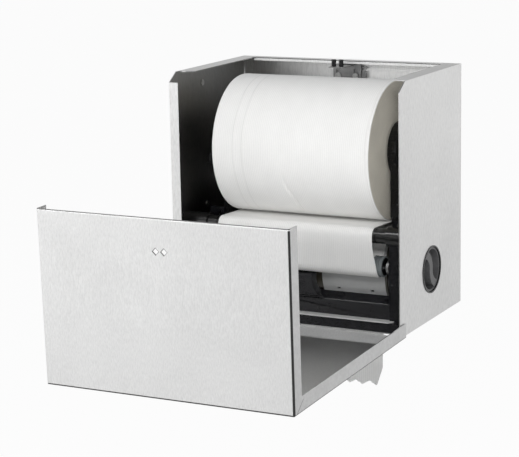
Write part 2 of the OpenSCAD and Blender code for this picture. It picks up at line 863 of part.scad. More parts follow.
module drum_shell_right() {
    color(drum_white) drum_shell(mod_x + waist_len / 2, drum_x1);
}

module drum_shell_left() {
    color(drum_white) drum_shell(drum_x0, mod_x - waist_len / 2);
}

// Narrow middle tube, with a shoulder that seats inside each shell
module drum_waist() {
    seat = 8;
    shell_bore = drum_d - 2 * drum_wall;
    color(dark)
    difference() {
        union() {
            tube_x(waist_d, waist_d - 2 * drum_wall, mod_x - waist_len / 2, mod_x + waist_len / 2, drum_at);
            both_sides() tube_x(shell_bore - 0.04, waist_d - 2 * drum_wall,
                mod_x + waist_len / 2, mod_x + waist_len / 2 + seat, drum_at);
        }
        knife_slot();
    }
}

// End cap inside a shell, with holes for the drum shaft and the knife shaft
module drum_cap() {
    difference() {
        union() {
            rod_x(drum_d - 2 * drum_wall - 0.04, drum_x1 - cap_t, drum_x1, drum_at);
            rod_x(shaft_d + 8, drum_x1, cheek_x - 2 - gap, drum_at);
        }
        rod_x(shaft_d + 0.04, drum_x1 - cap_t - 1, cheek_x, drum_at);
        along_x(drum_x1 - cap_t - 1, drum_x1 + 1)
            slot_frame() translate(pivot_uv) circle(d = knife_shaft_d + 2 * run);
    }
}

module drum_cap_right() {
    color(drum_white) drum_cap();
}

module drum_cap_left() {
    color(drum_white) mirrored() drum_cap();
}

knob_x0 = cheek_out + 2;
knob_floor = (knob_x0 + half_w) / 2;
knob_socket = (knob_floor - knob_x0) * 2 / 3;
knob_face = half_w - 0.5;

module drum_shaft() {
    color(steel)
    rod_x(shaft_d, crank_x0 - crank_t - 1, knob_x0 + knob_socket, drum_at);
}

// Recessed knob: a dished disc with a raised S across it
module feed_knob() {
    bend_r = knob_d / 2.7;
    turn = -92;
    color(dark)
    difference() {
        union() {
            rod_x(knob_d, knob_x0, knob_floor, drum_at);
            tube_x(knob_d, knob_d - 5, knob_floor - eps, knob_face, drum_at);
            along_x(knob_floor - eps, knob_face) translate(drum_at) rotate(turn)
                intersection() {
                    circle(d = knob_d - 4);
                    for (s = [0, 180]) rotate(s) translate([0, bend_r]) difference() {
                        circle(bend_r + grip_w / 2);
                        circle(bend_r - grip_w / 2);
                        translate([-knob_d, -knob_d]) square([knob_d, 2 * knob_d]);
                    }
                }
        }
        rod_x(shaft_d + 0.04, knob_x0 - 1, knob_x0 + knob_socket, drum_at);
    }
}

crank_pin_at = polar(drum_at, crank_arm, crank_turn);
crank_pin_d = 5;

module crank_disc() {
    color(drum_white)
    difference() {
        rod_x(2 * (crank_arm + 6), crank_x0 - crank_t, crank_x0, drum_at);
        rod_x(shaft_d + 0.04, crank_x0 - crank_t - 2, crank_x0 + 1, drum_at);
        rod_x(crank_pin_d + 0.04, crank_x0 - crank_t - 1, crank_x0 + 1, crank_pin_at);
    }
}

module crank_pin() {
    color(steel)
    rod_x(crank_pin_d, spring_x - 4, crank_x0, crank_pin_at);
}

return_wire = 1.2;
return_hook = crank_pin_d / 2 + return_wire / 2 + gap;
return_coil = hook_path(spring_post_run - crank_arm, 5, return_hook, 10, 10);

// Hooked spring lying in the plane of the drum's end, from one [y, z] to another
module hooked_spring(path, d, x, a, b) {
    turn = atan2(b[1] - a[1], b[0] - a[0]);
    translate([x, a[0], a[1]]) rotate([turn, 0, 0]) rotate([-90, 0, 0]) rotate([0, 0, 90]) wire(path, d);
}

module return_spring() {
    color(spring_steel)
    hooked_spring(return_coil, return_wire, spring_x, crank_pin_at, spring_post_at);
}

// Knife, carried inside the drum and swung out through its slot

blade_u0 = knife_reach - knife_h;

module knife_blade() {
    teeth = floor(knife_len / tooth_pitch);
    x0 = mod_x - teeth * tooth_pitch / 2;
    edge = [for (k = [0:teeth - 1]) for (p = [[k * tooth_pitch, knife_reach - tooth_h],
        [(k + 0.5) * tooth_pitch, knife_reach]]) p];
    outline = concat([[0, blade_u0]], edge, [[teeth * tooth_pitch, knife_reach - tooth_h],
        [teeth * tooth_pitch, blade_u0]]);
    color(steel)
    translate([x0, -drum_y, drum_z]) rotate([slot_turn - 90, 0, 0])
        translate([0, -knife_t, 0]) rotate([90, 0, 0]) mirror([0, 0, 1]) linear_extrude(knife_t) polygon(outline);
}

// Hub on the knife shaft, an arm and the block that the blade is fixed to
module knife_carrier() {
    block_u = 8;
    block_v = 4;
    x0 = mod_x - knife_len / 2 + 4;
    x1 = mod_x + knife_len / 2 - 4;
    color(dark)
    difference() {
        union() {
            along_x(x0, x1) slot_frame() translate(pivot_uv) circle(d = knife_hub_d);
            along_x(x0, x1) slot_frame() polygon(strip(pivot_uv, [blade_u0 + block_u / 2, -block_v / 2 - 1], 5));
            along_x(x0, x1) slot_frame() translate([blade_u0 - 1, -block_v]) square([block_u, block_v]);
        }
        along_x(x0 - 1, x1 + 1) slot_frame() translate(pivot_uv) circle(d = knife_shaft_d + 0.04);
    }
}

follower_x = drum_x0 - gap;
follower_t = 3.7;
follower_r = 3.5;
follower_uv = polar([0, 0], cam_r - follower_r - gap, -99);

module knife_shaft() {
    color(steel)
    along_x(follower_x - follower_t, drum_x1) slot_frame() translate(pivot_uv) circle(d = knife_shaft_d);
}

// Lever on the knife shaft outside the drum, with its roller inside the cam ring
module cam_follower() {
    color(drum_white) {
        along_x(follower_x - follower_t, follower_x) slot_frame() difference() {
            union() {
                translate(pivot_uv) circle(d = knife_shaft_d + 5);
                translate(follower_uv) circle(follower_r + 0.5);
                polygon(strip(pivot_uv, follower_uv, 6));
            }
            translate(pivot_uv) circle(d = knife_shaft_d + 0.04);
        }
        along_x(follower_x - follower_t - 5, follower_x - follower_t) slot_frame()
            translate(follower_uv) circle(follower_r);
    }
}

// Pinch roller

// One sliding block with its spring peg
module pinch_block() {
    difference() {
        along_x(block_x0, block_x1) block_slot(block_side, [0, 0, 0]);
        rod_x(pinch_shaft_d + 2 * run, block_x0 - 1, block_x1 + 1, pinch_at);
    }
    rod_x(2 * peg_r, block_x1 - eps, peg_x1, peg_at);
}

module pinch_bearings() {
    color(drum_white) both_sides() pinch_block();
}

pinch_end = block_x1 - 0.5;

module pinch_shaft() {
    color(steel)
    rod_x(pinch_shaft_d, 2 * mod_x - pinch_end, pinch_end, pinch_at);
}

ring_side = 10.5;
ring_x1 = cheek_x - ring_side;
ring_count = 5;

module pinch_core() {
    color(black)
    tube_x(pinch_core_d, pinch_shaft_d + 0.04, 2 * mod_x - ring_x1, ring_x1, pinch_at);
}

// Rubber rings, each with two grooves
module pinch_rings() {
    span = 2 * (ring_x1 - mod_x) - ring_w;
    color(rubber)
    for (k = [0:ring_count - 1]) {
        x0 = 2 * mod_x - ring_x1 + span * k / (ring_count - 1);
        difference() {
            tube_x(pinch_d, pinch_core_d + 0.04, x0, x0 + ring_w, pinch_at);
            for (g = [1, 2]) tube_x(pinch_d + 1, pinch_d - 2, x0 + g * ring_w / 3 - 0.6,
                x0 + g * ring_w / 3 + 0.6, pinch_at);
        }
    }
}

module pinch_clips() {
    color(steel)
    both_sides() tube_x(pinch_clip_d, pinch_shaft_d + 0.04, ring_x1 + 4, ring_x1 + 4 + pinch_clip_t, pinch_at);
}

pinch_wire = 0.7;
pinch_hook = peg_r + pinch_wire / 2 + gap;
pinch_coil = hook_path(post_run - peg_off[0], 2.6, pinch_hook, 8, 6.5);

module pinch_springs() {
    color(spring_steel)
    both_sides() hooked_spring(pinch_coil, pinch_wire, (block_x1 + peg_x1) / 2, peg_at, post_at);
}

// Paper

module paper_roll() {
    color(paper_white)
    tube_x(roll_d, core_bore + 2 * core_wall + 0.04, roll_x0, roll_x1, roll_at);
}

module roll_core() {
    color(board)
    tube_x(core_bore + 2 * core_wall, core_bore, roll_x0, roll_x1, roll_at);
}

// Paper path: off the roll's underside, over the guide bar, round the front of the pinch roller, into the nip
web_roll_r = roll_r + gap + paper_t / 2;
web_guide_r = guide_r + gap + paper_t / 2;
web_pinch_gap = gap + pinch_lift / 2;
web_pinch_r = pinch_r + web_pinch_gap + paper_t / 2;
web_pinch_at = pinch_at + pinch_lift / 2 * pinch_dir;
wrap_r = drum_r + gap + paper_t / 2;
to_guide = guide_at - roll_at;
leave_angle = atan2(to_guide[1], to_guide[0]) + acos((web_roll_r + web_guide_r) / norm(to_guide));
to_pinch = web_pinch_at - guide_at;
drop_angle = atan2(to_pinch[1], to_pinch[0]) - acos((web_guide_r - web_pinch_r) / norm(to_pinch));
nip_angle = 180 - pinch_angle;
exit_lean = 8;

web_path = concat(
    [polar(roll_at, web_roll_r, leave_angle)],
    arc(guide_at, web_guide_r, leave_angle + 180, drop_angle + 360),
    arc(web_pinch_at, web_pinch_r, drop_angle + 360, nip_angle + 180));

wrap_path = arc(drum_at, wrap_r, nip_angle, exit_lean - 90, 4);

tail_start = polar(drum_at, wrap_r, exit_lean - 90);
tail_dir = [-cos(exit_lean), -sin(exit_lean)];
tail_in = [sin(exit_lean), -cos(exit_lean)];
tail_run = (tail_start[0] + tail_bend * (tail_in[0] - 1) + tail_y) / cos(exit_lean);
tail_centre = tail_start + tail_run * tail_dir + tail_bend * tail_in;
tail_path = concat([tail_start], arc(tail_centre, tail_bend, exit_lean + 90, 180), [[-tail_y, -tail_drop]]);

module paper_strip(path) {
    color(paper_white) along_x(roll_x0, roll_x1) polygon(ribbon(path, paper_t));
}

module paper_web() {
    paper_strip(web_path);
}

module paper_wrap() {
    paper_strip(wrap_path);
}

// The tail ends in a torn zigzag with one corner missing
module paper_tail() {
    teeth = ceil(roll_w / tear_pitch);
    corner = 9;
    zig = [for (k = [0:teeth - 1]) for (p = [[roll_x1 - k * tear_pitch, -tail_drop + tear_depth],
        [roll_x1 - (k + 0.5) * tear_pitch, -tail_drop]]) p];
    below = -tail_drop - 5;
    color(paper_white)
    difference() {
        paper_strip(tail_path);
        along_y(-tail_y - 5, -tail_y + 5) {
            polygon(concat(zig, [[roll_x0 - tear_pitch, -tail_drop + tear_depth], [roll_x0 - tear_pitch, below],
                [roll_x1 + 1, below], [roll_x1 + 1, -tail_drop + tear_depth]]));
            polygon([[roll_x1 + 1, below], [roll_x1 - corner, below], [roll_x1, -tail_drop + 2.5 * corner],
                [roll_x1 + 1, -tail_drop + 2.5 * corner]]);
        }
    }
}

// Roll arms

// Right-hand arm: round head, strut with a window and two ribs, and a knuckle on the pivot pin
module roll_arm() {
    rib = 4;
    rib_h = 2.5;
    window_z = [arm_pivot_z + knuckle_r + 3, hub_at[1] - head_r - 3];
    difference() {
        union() {
            rod_x(2 * head_r, arm_x0, arm_x1, hub_at);
            box(strut_x0, arm_x1, strut_y0, strut_y1, arm_pivot_z - knuckle_r + 1, hub_at[1]);
            for (y = [strut_y0 + 2, strut_y1 - 2 - rib])
                box(strut_x0 - rib_h, strut_x0 + eps, y, y + rib, arm_pivot_z + 8, hub_at[1] - head_r + 12);
            rod_y(2 * knuckle_r, strut_y0, strut_y1, arm_pin_x, arm_pivot_z);
        }
        rod_x(stub_d + 2 * run, arm_x0 - 4, arm_x1 + 1, hub_at);
        rod_y(arm_pin_d + 2 * run, strut_y0 - 1, strut_y1 + 1, arm_pin_x, arm_pivot_z);
        box(strut_x0 - 1, arm_x1 + 1, strut_y0 + leg_w, strut_y1 - leg_w, window_z[0], window_z[1]);
        // Recess for the hub's clip
        rod_x(recess_d, arm_x1 - head_recess, arm_x1 + 1, hub_at);
    }
}

module right_roll_arm() {
    color(black) roll_arm();
}

module left_roll_arm() {
    color(black) mirrored() roll_arm();
}

module arm_pivot_pins() {
    overhang = gap + ear_t;
    color(steel)
    both_sides() rod_y(arm_pin_d, strut_y0 - overhang, strut_y1 + overhang, arm_pin_x, arm_pivot_z);
}

// Tapered plug in the core, a collar at the roll's end and a stub shaft through the arm
module hub() {
    plug_x0 = roll_x1 - hub_depth;
    cone_x(hub_d - 2 * hub_taper, hub_d, plug_x0, roll_x1, hub_at);
    rod_x(hub_d - 2, roll_x1 - eps, collar_x0 + eps, hub_at);
    rod_x(hub_d + 12, collar_x0, collar_x0 + collar_t, hub_at);
    rod_x(stub_d, collar_x0 + collar_t - eps, stub_x1, hub_at);
}

module hub_clip() {
    tube_x(clip_d, stub_d + 0.04, clip_x0, clip_x0 + clip_t, hub_at);
}

module right_hub() {
    color(dark) hub();
}

module left_hub() {
    color(dark) mirrored() hub();
}

module right_hub_clip() {
    color(steel) hub_clip();
}

module left_hub_clip() {
    color(steel) mirrored() hub_clip();
}

// Compression springs between the arms and the side panels

function arm_coil(l) = helix(arm_coil_r, arm_wire / 2, l - arm_wire / 2, 7);

module arm_spring(l) {
    translate([arm_x1, -roll_y, arm_spring_z]) rotate([0, 90, 0]) wire(arm_coil(l), arm_wire);
}

right_spring_len = inner_x - arm_x1;
left_spring_len = inner_x - arm_x1 + 2 * mod_x;

module right_arm_spring() {
    color(spring_steel) arm_spring(right_spring_len);
}

module left_arm_spring() {
    color(spring_steel) mirrored() arm_spring(left_spring_len);
}

echo(least_wire_gap_mm = [
    wire_gap(latch_coil, latch_wire), wire_gap(return_coil, return_wire), wire_gap(pinch_coil, pinch_wire),
    wire_gap(arm_coil(right_spring_len), arm_wire), wire_gap(arm_coil(left_spring_len), arm_wire)]);
echo(joint_places_mm = [
    ["mount height", screw_mid_z], ["hinge", [hinge_y, hinge_z]], ["drum", drum_at], ["pinch", pinch_at],
    ["roll", roll_at], ["hub", hub_at], ["arm pin", [arm_pin_x, 2 * mod_x - arm_pin_x, arm_pivot_z]],
    ["knife", polar(drum_at, norm(pivot_uv), slot_turn + atan2(pivot_uv[1], pivot_uv[0]))]]);

from_mount() back_panel();
from_mount() left_side_panel();
from_mount() right_side_panel();
from_mount() bottom_pan();
from_mount() panel_rivets();
from_mount() front_rail();
from_mount() rail_base();
from_mount() lock_bracket();
from_mount() latch_rivets();
from_mount() latch_slider();
from_mount() latch_noses();
from_mount() latch_spring();
from_mount() front_cover();
from_mount() hinge_pins();
from_mount() hinge_washers();
from_mount() left_cheek();
from_mount() right_cheek();
from_mount() chute_frame();
from_mount() rear_plate();
from_mount() outlet_collar();
from_mount() chassis_screws();
from_mount() guide_bar();
from_mount() knob_bezel();
from_mount() drum_bushes();
from_mount() knife_cam();
from_mount() drum_shell_left();
from_mount() drum_shell_right();
from_mount() drum_waist();
from_mount() drum_cap_left();
from_mount() drum_cap_right();
from_mount() drum_shaft();
from_mount() feed_knob();
from_mount() crank_disc();
from_mount() crank_pin();
from_mount() return_spring();
from_mount() knife_blade();
from_mount() knife_carrier();
from_mount() knife_shaft();
from_mount() cam_follower();
from_mount() pinch_bearings();
from_mount() pinch_shaft();
from_mount() pinch_core();
from_mount() pinch_rings();
from_mount() pinch_clips();
from_mount() pinch_springs();
from_mount() paper_roll();
from_mount() roll_core();
from_mount() paper_web();
from_mount() paper_wrap();
from_mount() paper_tail();
from_mount() left_roll_arm();
from_mount() right_roll_arm();
from_mount() arm_pivot_pins();
from_mount() left_arm_spring();
from_mount() right_arm_spring();
from_mount() left_hub();
from_mount() right_hub();
from_mount() left_hub_clip();
from_mount() right_hub_clip();
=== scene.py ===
import math

import bpy
from mathutils import Matrix, Vector, noise


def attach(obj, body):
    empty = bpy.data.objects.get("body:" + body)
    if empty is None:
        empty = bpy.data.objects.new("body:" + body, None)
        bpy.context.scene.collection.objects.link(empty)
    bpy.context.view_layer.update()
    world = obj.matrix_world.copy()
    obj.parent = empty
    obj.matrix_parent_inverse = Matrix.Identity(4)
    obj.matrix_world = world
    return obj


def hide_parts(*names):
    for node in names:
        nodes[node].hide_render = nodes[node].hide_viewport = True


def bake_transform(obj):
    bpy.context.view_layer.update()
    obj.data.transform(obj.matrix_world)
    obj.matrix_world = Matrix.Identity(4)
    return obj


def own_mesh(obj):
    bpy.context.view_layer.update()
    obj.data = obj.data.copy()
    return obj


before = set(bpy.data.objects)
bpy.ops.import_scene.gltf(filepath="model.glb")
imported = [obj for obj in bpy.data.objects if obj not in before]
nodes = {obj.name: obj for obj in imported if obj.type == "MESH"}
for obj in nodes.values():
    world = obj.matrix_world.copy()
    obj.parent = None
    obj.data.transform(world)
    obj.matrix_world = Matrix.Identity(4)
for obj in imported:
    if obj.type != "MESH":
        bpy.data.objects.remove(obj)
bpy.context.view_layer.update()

MM = 0.001
# Height of the frame's origin above the cabinet's bottom
MOUNT_Z = 200.0
RIB_PITCH, RIB_H = 2.4, 0.075
# Seam lines round the roll: place along it and depth
ROLL_SEAMS = ((-70.0, 0.3), (-58.0, 0.25), (103.4, 0.25))


def at(x, y, z):
    return Vector((x, y, z - MOUNT_Z)) * MM


# Node graph helpers

def add(tree, kind, inputs=None, **props):
    n = tree.nodes.new(kind)
    for key, value in props.items():
        setattr(n, key, value)
    for key, value in (inputs or {}).items():
        if isinstance(value, bpy.types.NodeSocket):
            tree.links.new(value, n.inputs[key])
        else:
            n.inputs[key].default_value = value
    return n


def coordinate(tree, kind):
    return add(tree, "ShaderNodeTexCoord").outputs[kind]


def parts_of(tree, vector):
    return list(add(tree, "ShaderNodeSeparateXYZ", {"Vector": vector}).outputs)


def place_of(tree):
    return parts_of(tree, coordinate(tree, "Object"))


def normal_of(tree):
    return parts_of(tree, coordinate(tree, "Normal"))


def grain(tree, scale, detail=4.0, roughness=0.55, distortion=0.0):
    # Noise in the piece's own coordinates; scale is in waves per metre along x, y and z
    place = coordinate(tree, "Object")
    vector = add(tree, "ShaderNodeMapping", {"Vector": place, "Scale": scale}).outputs["Vector"]
    settings = {"Vector": vector, "Scale": 1.0, "Detail": detail, "Roughness": roughness,
                "Distortion": distortion}
    return add(tree, "ShaderNodeTexNoise", settings).outputs["Fac"]


def spread(tree, value, low, high, out_low, out_high):
    return add(tree, "ShaderNodeMapRange", {"Value": value, "From Min": low, "From Max": high,
                                            "To Min": out_low, "To Max": out_high}).outputs["Result"]


def math_node(tree, operation, a, b=0.0):
    n = add(tree, "ShaderNodeMath", operation=operation)
    for socket, value in zip(n.inputs, (a, b)):
        if isinstance(value, bpy.types.NodeSocket):
            tree.links.new(value, socket)
        else:
            socket.default_value = value
    return n.outputs[0]


def times(tree, a, b):
    return math_node(tree, "MULTIPLY", a, b)


def plus(tree, a, b):
    return math_node(tree, "ADD", a, b)


def minus(tree, a, b):
    return math_node(tree, "SUBTRACT", a, b)


def above(tree, value, limit):
    return math_node(tree, "GREATER_THAN", value, limit)


def below(tree, value, limit):
    return math_node(tree, "LESS_THAN", value, limit)


def distance(tree, a, b=0.0):
    return math_node(tree, "ABSOLUTE", minus(tree, a, b))


def most(tree, first, *others):
    for other in others:
        first = math_node(tree, "MAXIMUM", first, other)
    return first


def weighed(tree, a, share_a, b, share_b):
    return plus(tree, times(tree, a, share_a), times(tree, b, share_b))


def mixed(tree, share, first, second):
    return add(tree, "ShaderNodeMix", {0: share, 6: first, 7: second}, data_type="RGBA").outputs[2]


def ramp(tree, value, stops):
    n = add(tree, "ShaderNodeValToRGB", {"Fac": value})
    parts = n.color_ramp.elements
    while len(parts) < len(stops):
        parts.new(0.5)
    for part, (place, colour) in zip(parts, stops):
        part.position = place
        part.color = (*colour, 1.0)
    return n.outputs["Color"]


def shade(colour, share):
    return tuple(c * share for c in colour)


def new_material(name, **sockets):
    m = bpy.data.materials.new(name)
    m.use_nodes = True
    shader = m.node_tree.nodes["Principled BSDF"]
    for key, value in sockets.items():
        shader.inputs[key.replace("_", " ")].default_value = value
    return m, m.node_tree, shader


def surface(tree, shader, tone, rough, height, strength, depth):
    tree.links.new(tone, shader.inputs["Base Color"])
    tree.links.new(rough, shader.inputs["Roughness"])
    bump = add(tree, "ShaderNodeBump", {"Height": height, "Strength": strength, "Distance": depth})
    tree.links.new(bump.outputs["Normal"], shader.inputs["Normal"])


# Painted shade and painted light on sheet steel, with a few real marks: each gives the share by which a
# point is darkened or left matt

# A face looks along an axis where its normal's part goes through this range
FACING = (0.9, 0.97)
# Painted shade on the open cover's inside floor and on the left panel's inner face
INSIDE_SHADE = 0.42

# The open cover's front lies in front of COVER_FRONT_FROM, and its sheet within SHEET_REACH of its face
COVER_FRONT_FROM = -0.4
SHEET_REACH = 0.002
cover_points = [v.co.copy() for v in nodes["front_cover"].data.vertices]
COVER_FRONT = min(p.y for p in cover_points)
COVER_TOP = max(p.z for p in cover_points if p.y < COVER_FRONT + SHEET_REACH)
# A fold is painted with a dark reflection where no part of the normal is near 1, but not where it looks
# left
COVER_FOLD, COVER_FOLD_DARK, COVER_FOLD_LEFT = (0.997, 0.97), 0.96, -0.05
# Painted shade on the flanges, which look sideways
COVER_FLANGE_SHADE = 0.28
# Painted shade grows to the right and downwards
COVER_SHADE_RIGHT = (-0.15, 0.15, 0.0, 0.07)
COVER_SHADE_DOWN = (-0.03, -0.21, 0.0, 0.05)
# Painted shade along the front's cut top edge: height, fade and share, and the height of the painted
# highlight line below it
CUT_EDGE, CUT_FADE, TOP_EDGE_SHADE = 0.0009, 0.0001, 0.72
TOP_HIGHLIGHT_H = 0.0010

# The mitre on the cover's flanges: start and direction in y and z, length along y, edges of its line
MITRE_AT, MITRE_WAY, MITRE_RUN = (-0.4820, -0.2120), (0.78, 0.626), 0.0186
MITRE_LINE, MITRE_DARK = (0.0003, 0.0006), 0.8

# The two diamond holes of the cover: middle x and z, half diagonal.
# The edges of a rim are shares of the half diagonal.
HOLES_WITHIN = 9 * MM
HOLE_RIM, HOLE_RIM_DARK = (1.12, 1.26), 0.75
DIAMONDS = []
for side in (-1, 1):
    rim = [p for p in cover_points if 0 < p.x * side < HOLES_WITHIN and p.y < COVER_FRONT_FROM]
    low, high = min(p.z for p in rim), max(p.z for p in rim)
    DIAMONDS.append((sum(p.x for p in rim) / len(rim), (low + high) / 2, (high - low) / 2))


def cover_marks_and_shade(tree):
    # Painted dark reflections on the folds, painted shade on the flanges, the inside, towards the lower
    # right and along the cut top edge, and the mitre and the rims of the holes
    n = normal_of(tree)
    x, y, z = place_of(tree)
    sizes = [distance(tree, part) for part in n]
    fold = times(tree, spread(tree, most(tree, *sizes), *COVER_FOLD, 0.0, COVER_FOLD_DARK),
                 above(tree, n[0], COVER_FOLD_LEFT))
    flange = spread(tree, sizes[0], *FACING, 0.0, COVER_FLANGE_SHADE)
    inside = spread(tree, n[2], *FACING, 0.0, INSIDE_SHADE)
    painted_gradient = plus(tree, spread(tree, x, *COVER_SHADE_RIGHT), spread(tree, z, *COVER_SHADE_DOWN))
    across = weighed(tree, minus(tree, y, MITRE_AT[0]), -MITRE_WAY[1],
                     minus(tree, z, MITRE_AT[1]), MITRE_WAY[0])
    mitre = times(tree, spread(tree, distance(tree, across), *MITRE_LINE, MITRE_DARK, 0.0),
                  times(tree, above(tree, sizes[0], FACING[0]), below(tree, y, MITRE_AT[0] + MITRE_RUN)))
    rims = 0.0
    for middle_x, middle_z, half in DIAMONDS:
        off = plus(tree, distance(tree, x, middle_x), distance(tree, z, middle_z))
        rim = spread(tree, off, HOLE_RIM[0] * half, HOLE_RIM[1] * half, HOLE_RIM_DARK, 0.0)
        rims = most(tree, rims, rim)
    rims = times(tree, rims, below(tree, y, COVER_FRONT_FROM))
    edge_shade = times(tree, below(tree, y, COVER_FRONT + SHEET_REACH),
                spread(tree, z, COVER_TOP - CUT_EDGE - CUT_FADE, COVER_TOP - CUT_EDGE, 0.0, TOP_EDGE_SHADE))
    return most(tree, fold, flange, inside, painted_gradient, mitre, rims, edge_shade)


# Painted highlight: a pale matt strip of the cover's inside along the hinge
HINGE_HIGHLIGHT_Y, HINGE_HIGHLIGHT_UP = (-0.218, -0.2105), 0.6
HINGE_STREAKS, HINGE_STREAK_SWAY = (25.0, 420.0, 420.0), 0.012


def cover_highlights(tree):
    # Painted highlights: the strip along the hinge, and a pale line below the front's cut top edge
    up = normal_of(tree)[2]
    y, z = place_of(tree)[1:]
    streaks = times(tree, grain(tree, HINGE_STREAKS, 4.0, 0.65), HINGE_STREAK_SWAY)
    hinge_highlight = times(tree, spread(tree, plus(tree, y, streaks), *HINGE_HIGHLIGHT_Y, 0.0, 1.0),
                  above(tree, up, HINGE_HIGHLIGHT_UP))
    line = times(tree, below(tree, y, COVER_FRONT + SHEET_REACH),
                 times(tree, above(tree, z, COVER_TOP - CUT_EDGE - TOP_HIGHLIGHT_H),
                       below(tree, z, COVER_TOP - CUT_EDGE)))
    return most(tree, hinge_highlight, line)


def painted_shade_facing(axis, share):
    # Painted shade: darkens the faces that look along an axis: 0 is to the right, 2 is up
    def marks(tree):
        return spread(tree, normal_of(tree)[axis], *FACING, 0.0, share)
    return marks


# The top lip of the back: its front lies in front of LIP_FRONT_Y, with a bend above LIP_BEND_Z; the bend is
# painted shade and the front a painted highlight
LIP_FRONT_Y, LIP_BEND_Z, LIP_BEND_DARK = -0.0125, 0.0990, 0.75
# Painted shade on faces that look up
BACK_TOP_DARK, RIGHT_TOP_DARK = 0.12, 0.2
BACK_LIGHT_RIGHT = (-0.11, 0.04, 0.0, 0.72)


def lip_parts(tree):
    # 1 on the lip's bend, and 1 on its front below the bend
    y, z = place_of(tree)[1:]
    lip = below(tree, y, LIP_FRONT_Y)
    bend = times(tree, lip, above(tree, z, LIP_BEND_Z))
    return bend, minus(tree, lip, bend)


def back_shade(tree):
    # Painted shade on the bend of the lip, and less so on its top
    bend = times(tree, lip_parts(tree)[0], LIP_BEND_DARK)
    return most(tree, bend, painted_shade_facing(2, BACK_TOP_DARK)(tree))


def back_painted_light(tree):
    # Painted light, paler and less metal towards the right, and a painted highlight on the front of the lip
    bend, front = lip_parts(tree)
    painted_light = spread(tree, place_of(tree)[0], *BACK_LIGHT_RIGHT)
    return most(tree, front, times(tree, painted_light, minus(tree, 1.0, bend)))


# The seam in the left panel's rear corner, left of CORNER_SEAM_X and behind CORNER_SEAM_Y, is painted as a
# pale highlight
CORNER_SEAM_X, CORNER_SEAM_FADE, CORNER_SEAM_Y = -0.1471, 0.0003, -0.0040


def left_corner_highlight(tree):
    x, y = place_of(tree)[:2]
    near = spread(tree, x, CORNER_SEAM_X, CORNER_SEAM_X + CORNER_SEAM_FADE, 1.0, 0.0)
    return times(tree, near, above(tree, y, CORNER_SEAM_Y))


# The drum's two end rims, past the paper's width, are dark: partly the drum's own dark rim, partly painted
# shade for the gap beside the web
RIM_DARK, RIM_SHARE, RIM_FADE = (0.040, 0.034, 0.022), 0.93, 0.0005
DRUM_MID, DRUM_MID_TO_RIM = 0.0045, 0.1058


def drum_rims(tree):
    off = distance(tree, place_of(tree)[0], DRUM_MID)
    return spread(tree, off, DRUM_MID_TO_RIM, DRUM_MID_TO_RIM + RIM_FADE, 0.0, RIM_SHARE)


# Materials

# Depths of bumps
STEEL_DEEP, PORES_DEEP, FIBRE_DEEP, RINGS_DEEP = 0.1 * MM, 0.08 * MM, 0.1 * MM, 0.2 * MM
# Sheet under marks and painted shade keeps this share of its tone; painted light is pale matt sheet, nearly
# without metal
MARK_TONE, PAINTED_LIGHT_METAL = 0.03, 0.1
PAINTED_LIGHT_PALE = ((0.74, 0.74, 0.73), (0.9, 0.9, 0.89))


def brushed_steel(name, colour, streak, tint, marks=None, matt=None):
    m, tree, shader = new_material(name, Metallic=1.0)
    fine = grain(tree, streak, 4.0, 0.65)
    cloud = grain(tree, (11.0, 11.0, 11.0), 3.0)
    both = weighed(tree, fine, 0.7, cloud, 0.3)
    low, high = 0.34, 0.66
    tone = ramp(tree, both, [(low, shade(colour, 1 - tint)), (high, shade(colour, 1 + tint))])
    # Painted shade and dark marks
    if marks:
        tone = mixed(tree, marks(tree), tone, (*shade(colour, MARK_TONE), 1.0))
    # Painted light: pale, nearly metal-free sheet where the matt share is high
    if matt:
        painted_light = matt(tree)
        pale = ramp(tree, both, [(low, PAINTED_LIGHT_PALE[0]), (high, PAINTED_LIGHT_PALE[1])])
        tone = mixed(tree, painted_light, tone, pale)
        tree.links.new(spread(tree, painted_light, 0.0, 1.0, 1.0, PAINTED_LIGHT_METAL), shader.inputs["Metallic"])
    surface(tree, shader, tone, spread(tree, both, low, high, 0.30, 0.42), fine, 0.14, STEEL_DEEP)
    return m


def plain_steel(name, colour, streak, rough=(0.22, 0.36)):
    m, tree, shader = new_material(name, Metallic=1.0)
    fine = grain(tree, streak, 5.0, 0.6)
    stain = grain(tree, (60.0, 60.0, 60.0), 4.0, 0.6)
    both = weighed(tree, fine, 0.55, stain, 0.45)
    low, high, tint = 0.35, 0.65, 0.08
    tone = ramp(tree, both, [(low, shade(colour, 1 - tint)), (high, shade(colour, 1 + tint))])
    surface(tree, shader, tone, spread(tree, both, low, high, *rough), fine, 0.1, STEEL_DEEP)
    return m


def moulded(name, colour, rough, dust=1.5, size=1400.0, bump=0.18, gloss=0.5, marks=None):
    m, tree, shader = new_material(name, Specular_IOR_Level=gloss)
    pores = grain(tree, (size, size, size), 3.0, 0.6)
    dusty = grain(tree, (38.0, 38.0, 38.0), 5.0, 0.62)
    tone = ramp(tree, dusty, [(0.35, colour), (0.72, shade(colour, dust))])
    if marks:
        tone = mixed(tree, marks(tree), tone, (*RIM_DARK, 1.0))
    both = weighed(tree, pores, 0.4, dusty, 0.6)
    surface(tree, shader, tone, spread(tree, both, 0.35, 0.65, *rough), pores, bump, PORES_DEEP)
    return m


# A seam's line in the paper, darkened as painted shade in its crease: how far it sways, edges of the line,
# share by which it darkens
PAPER_SEAM_SWAY, PAPER_SEAM_LINE, PAPER_SEAM_SHADE = 0.0012, (0.0004, 0.0012), 0.17


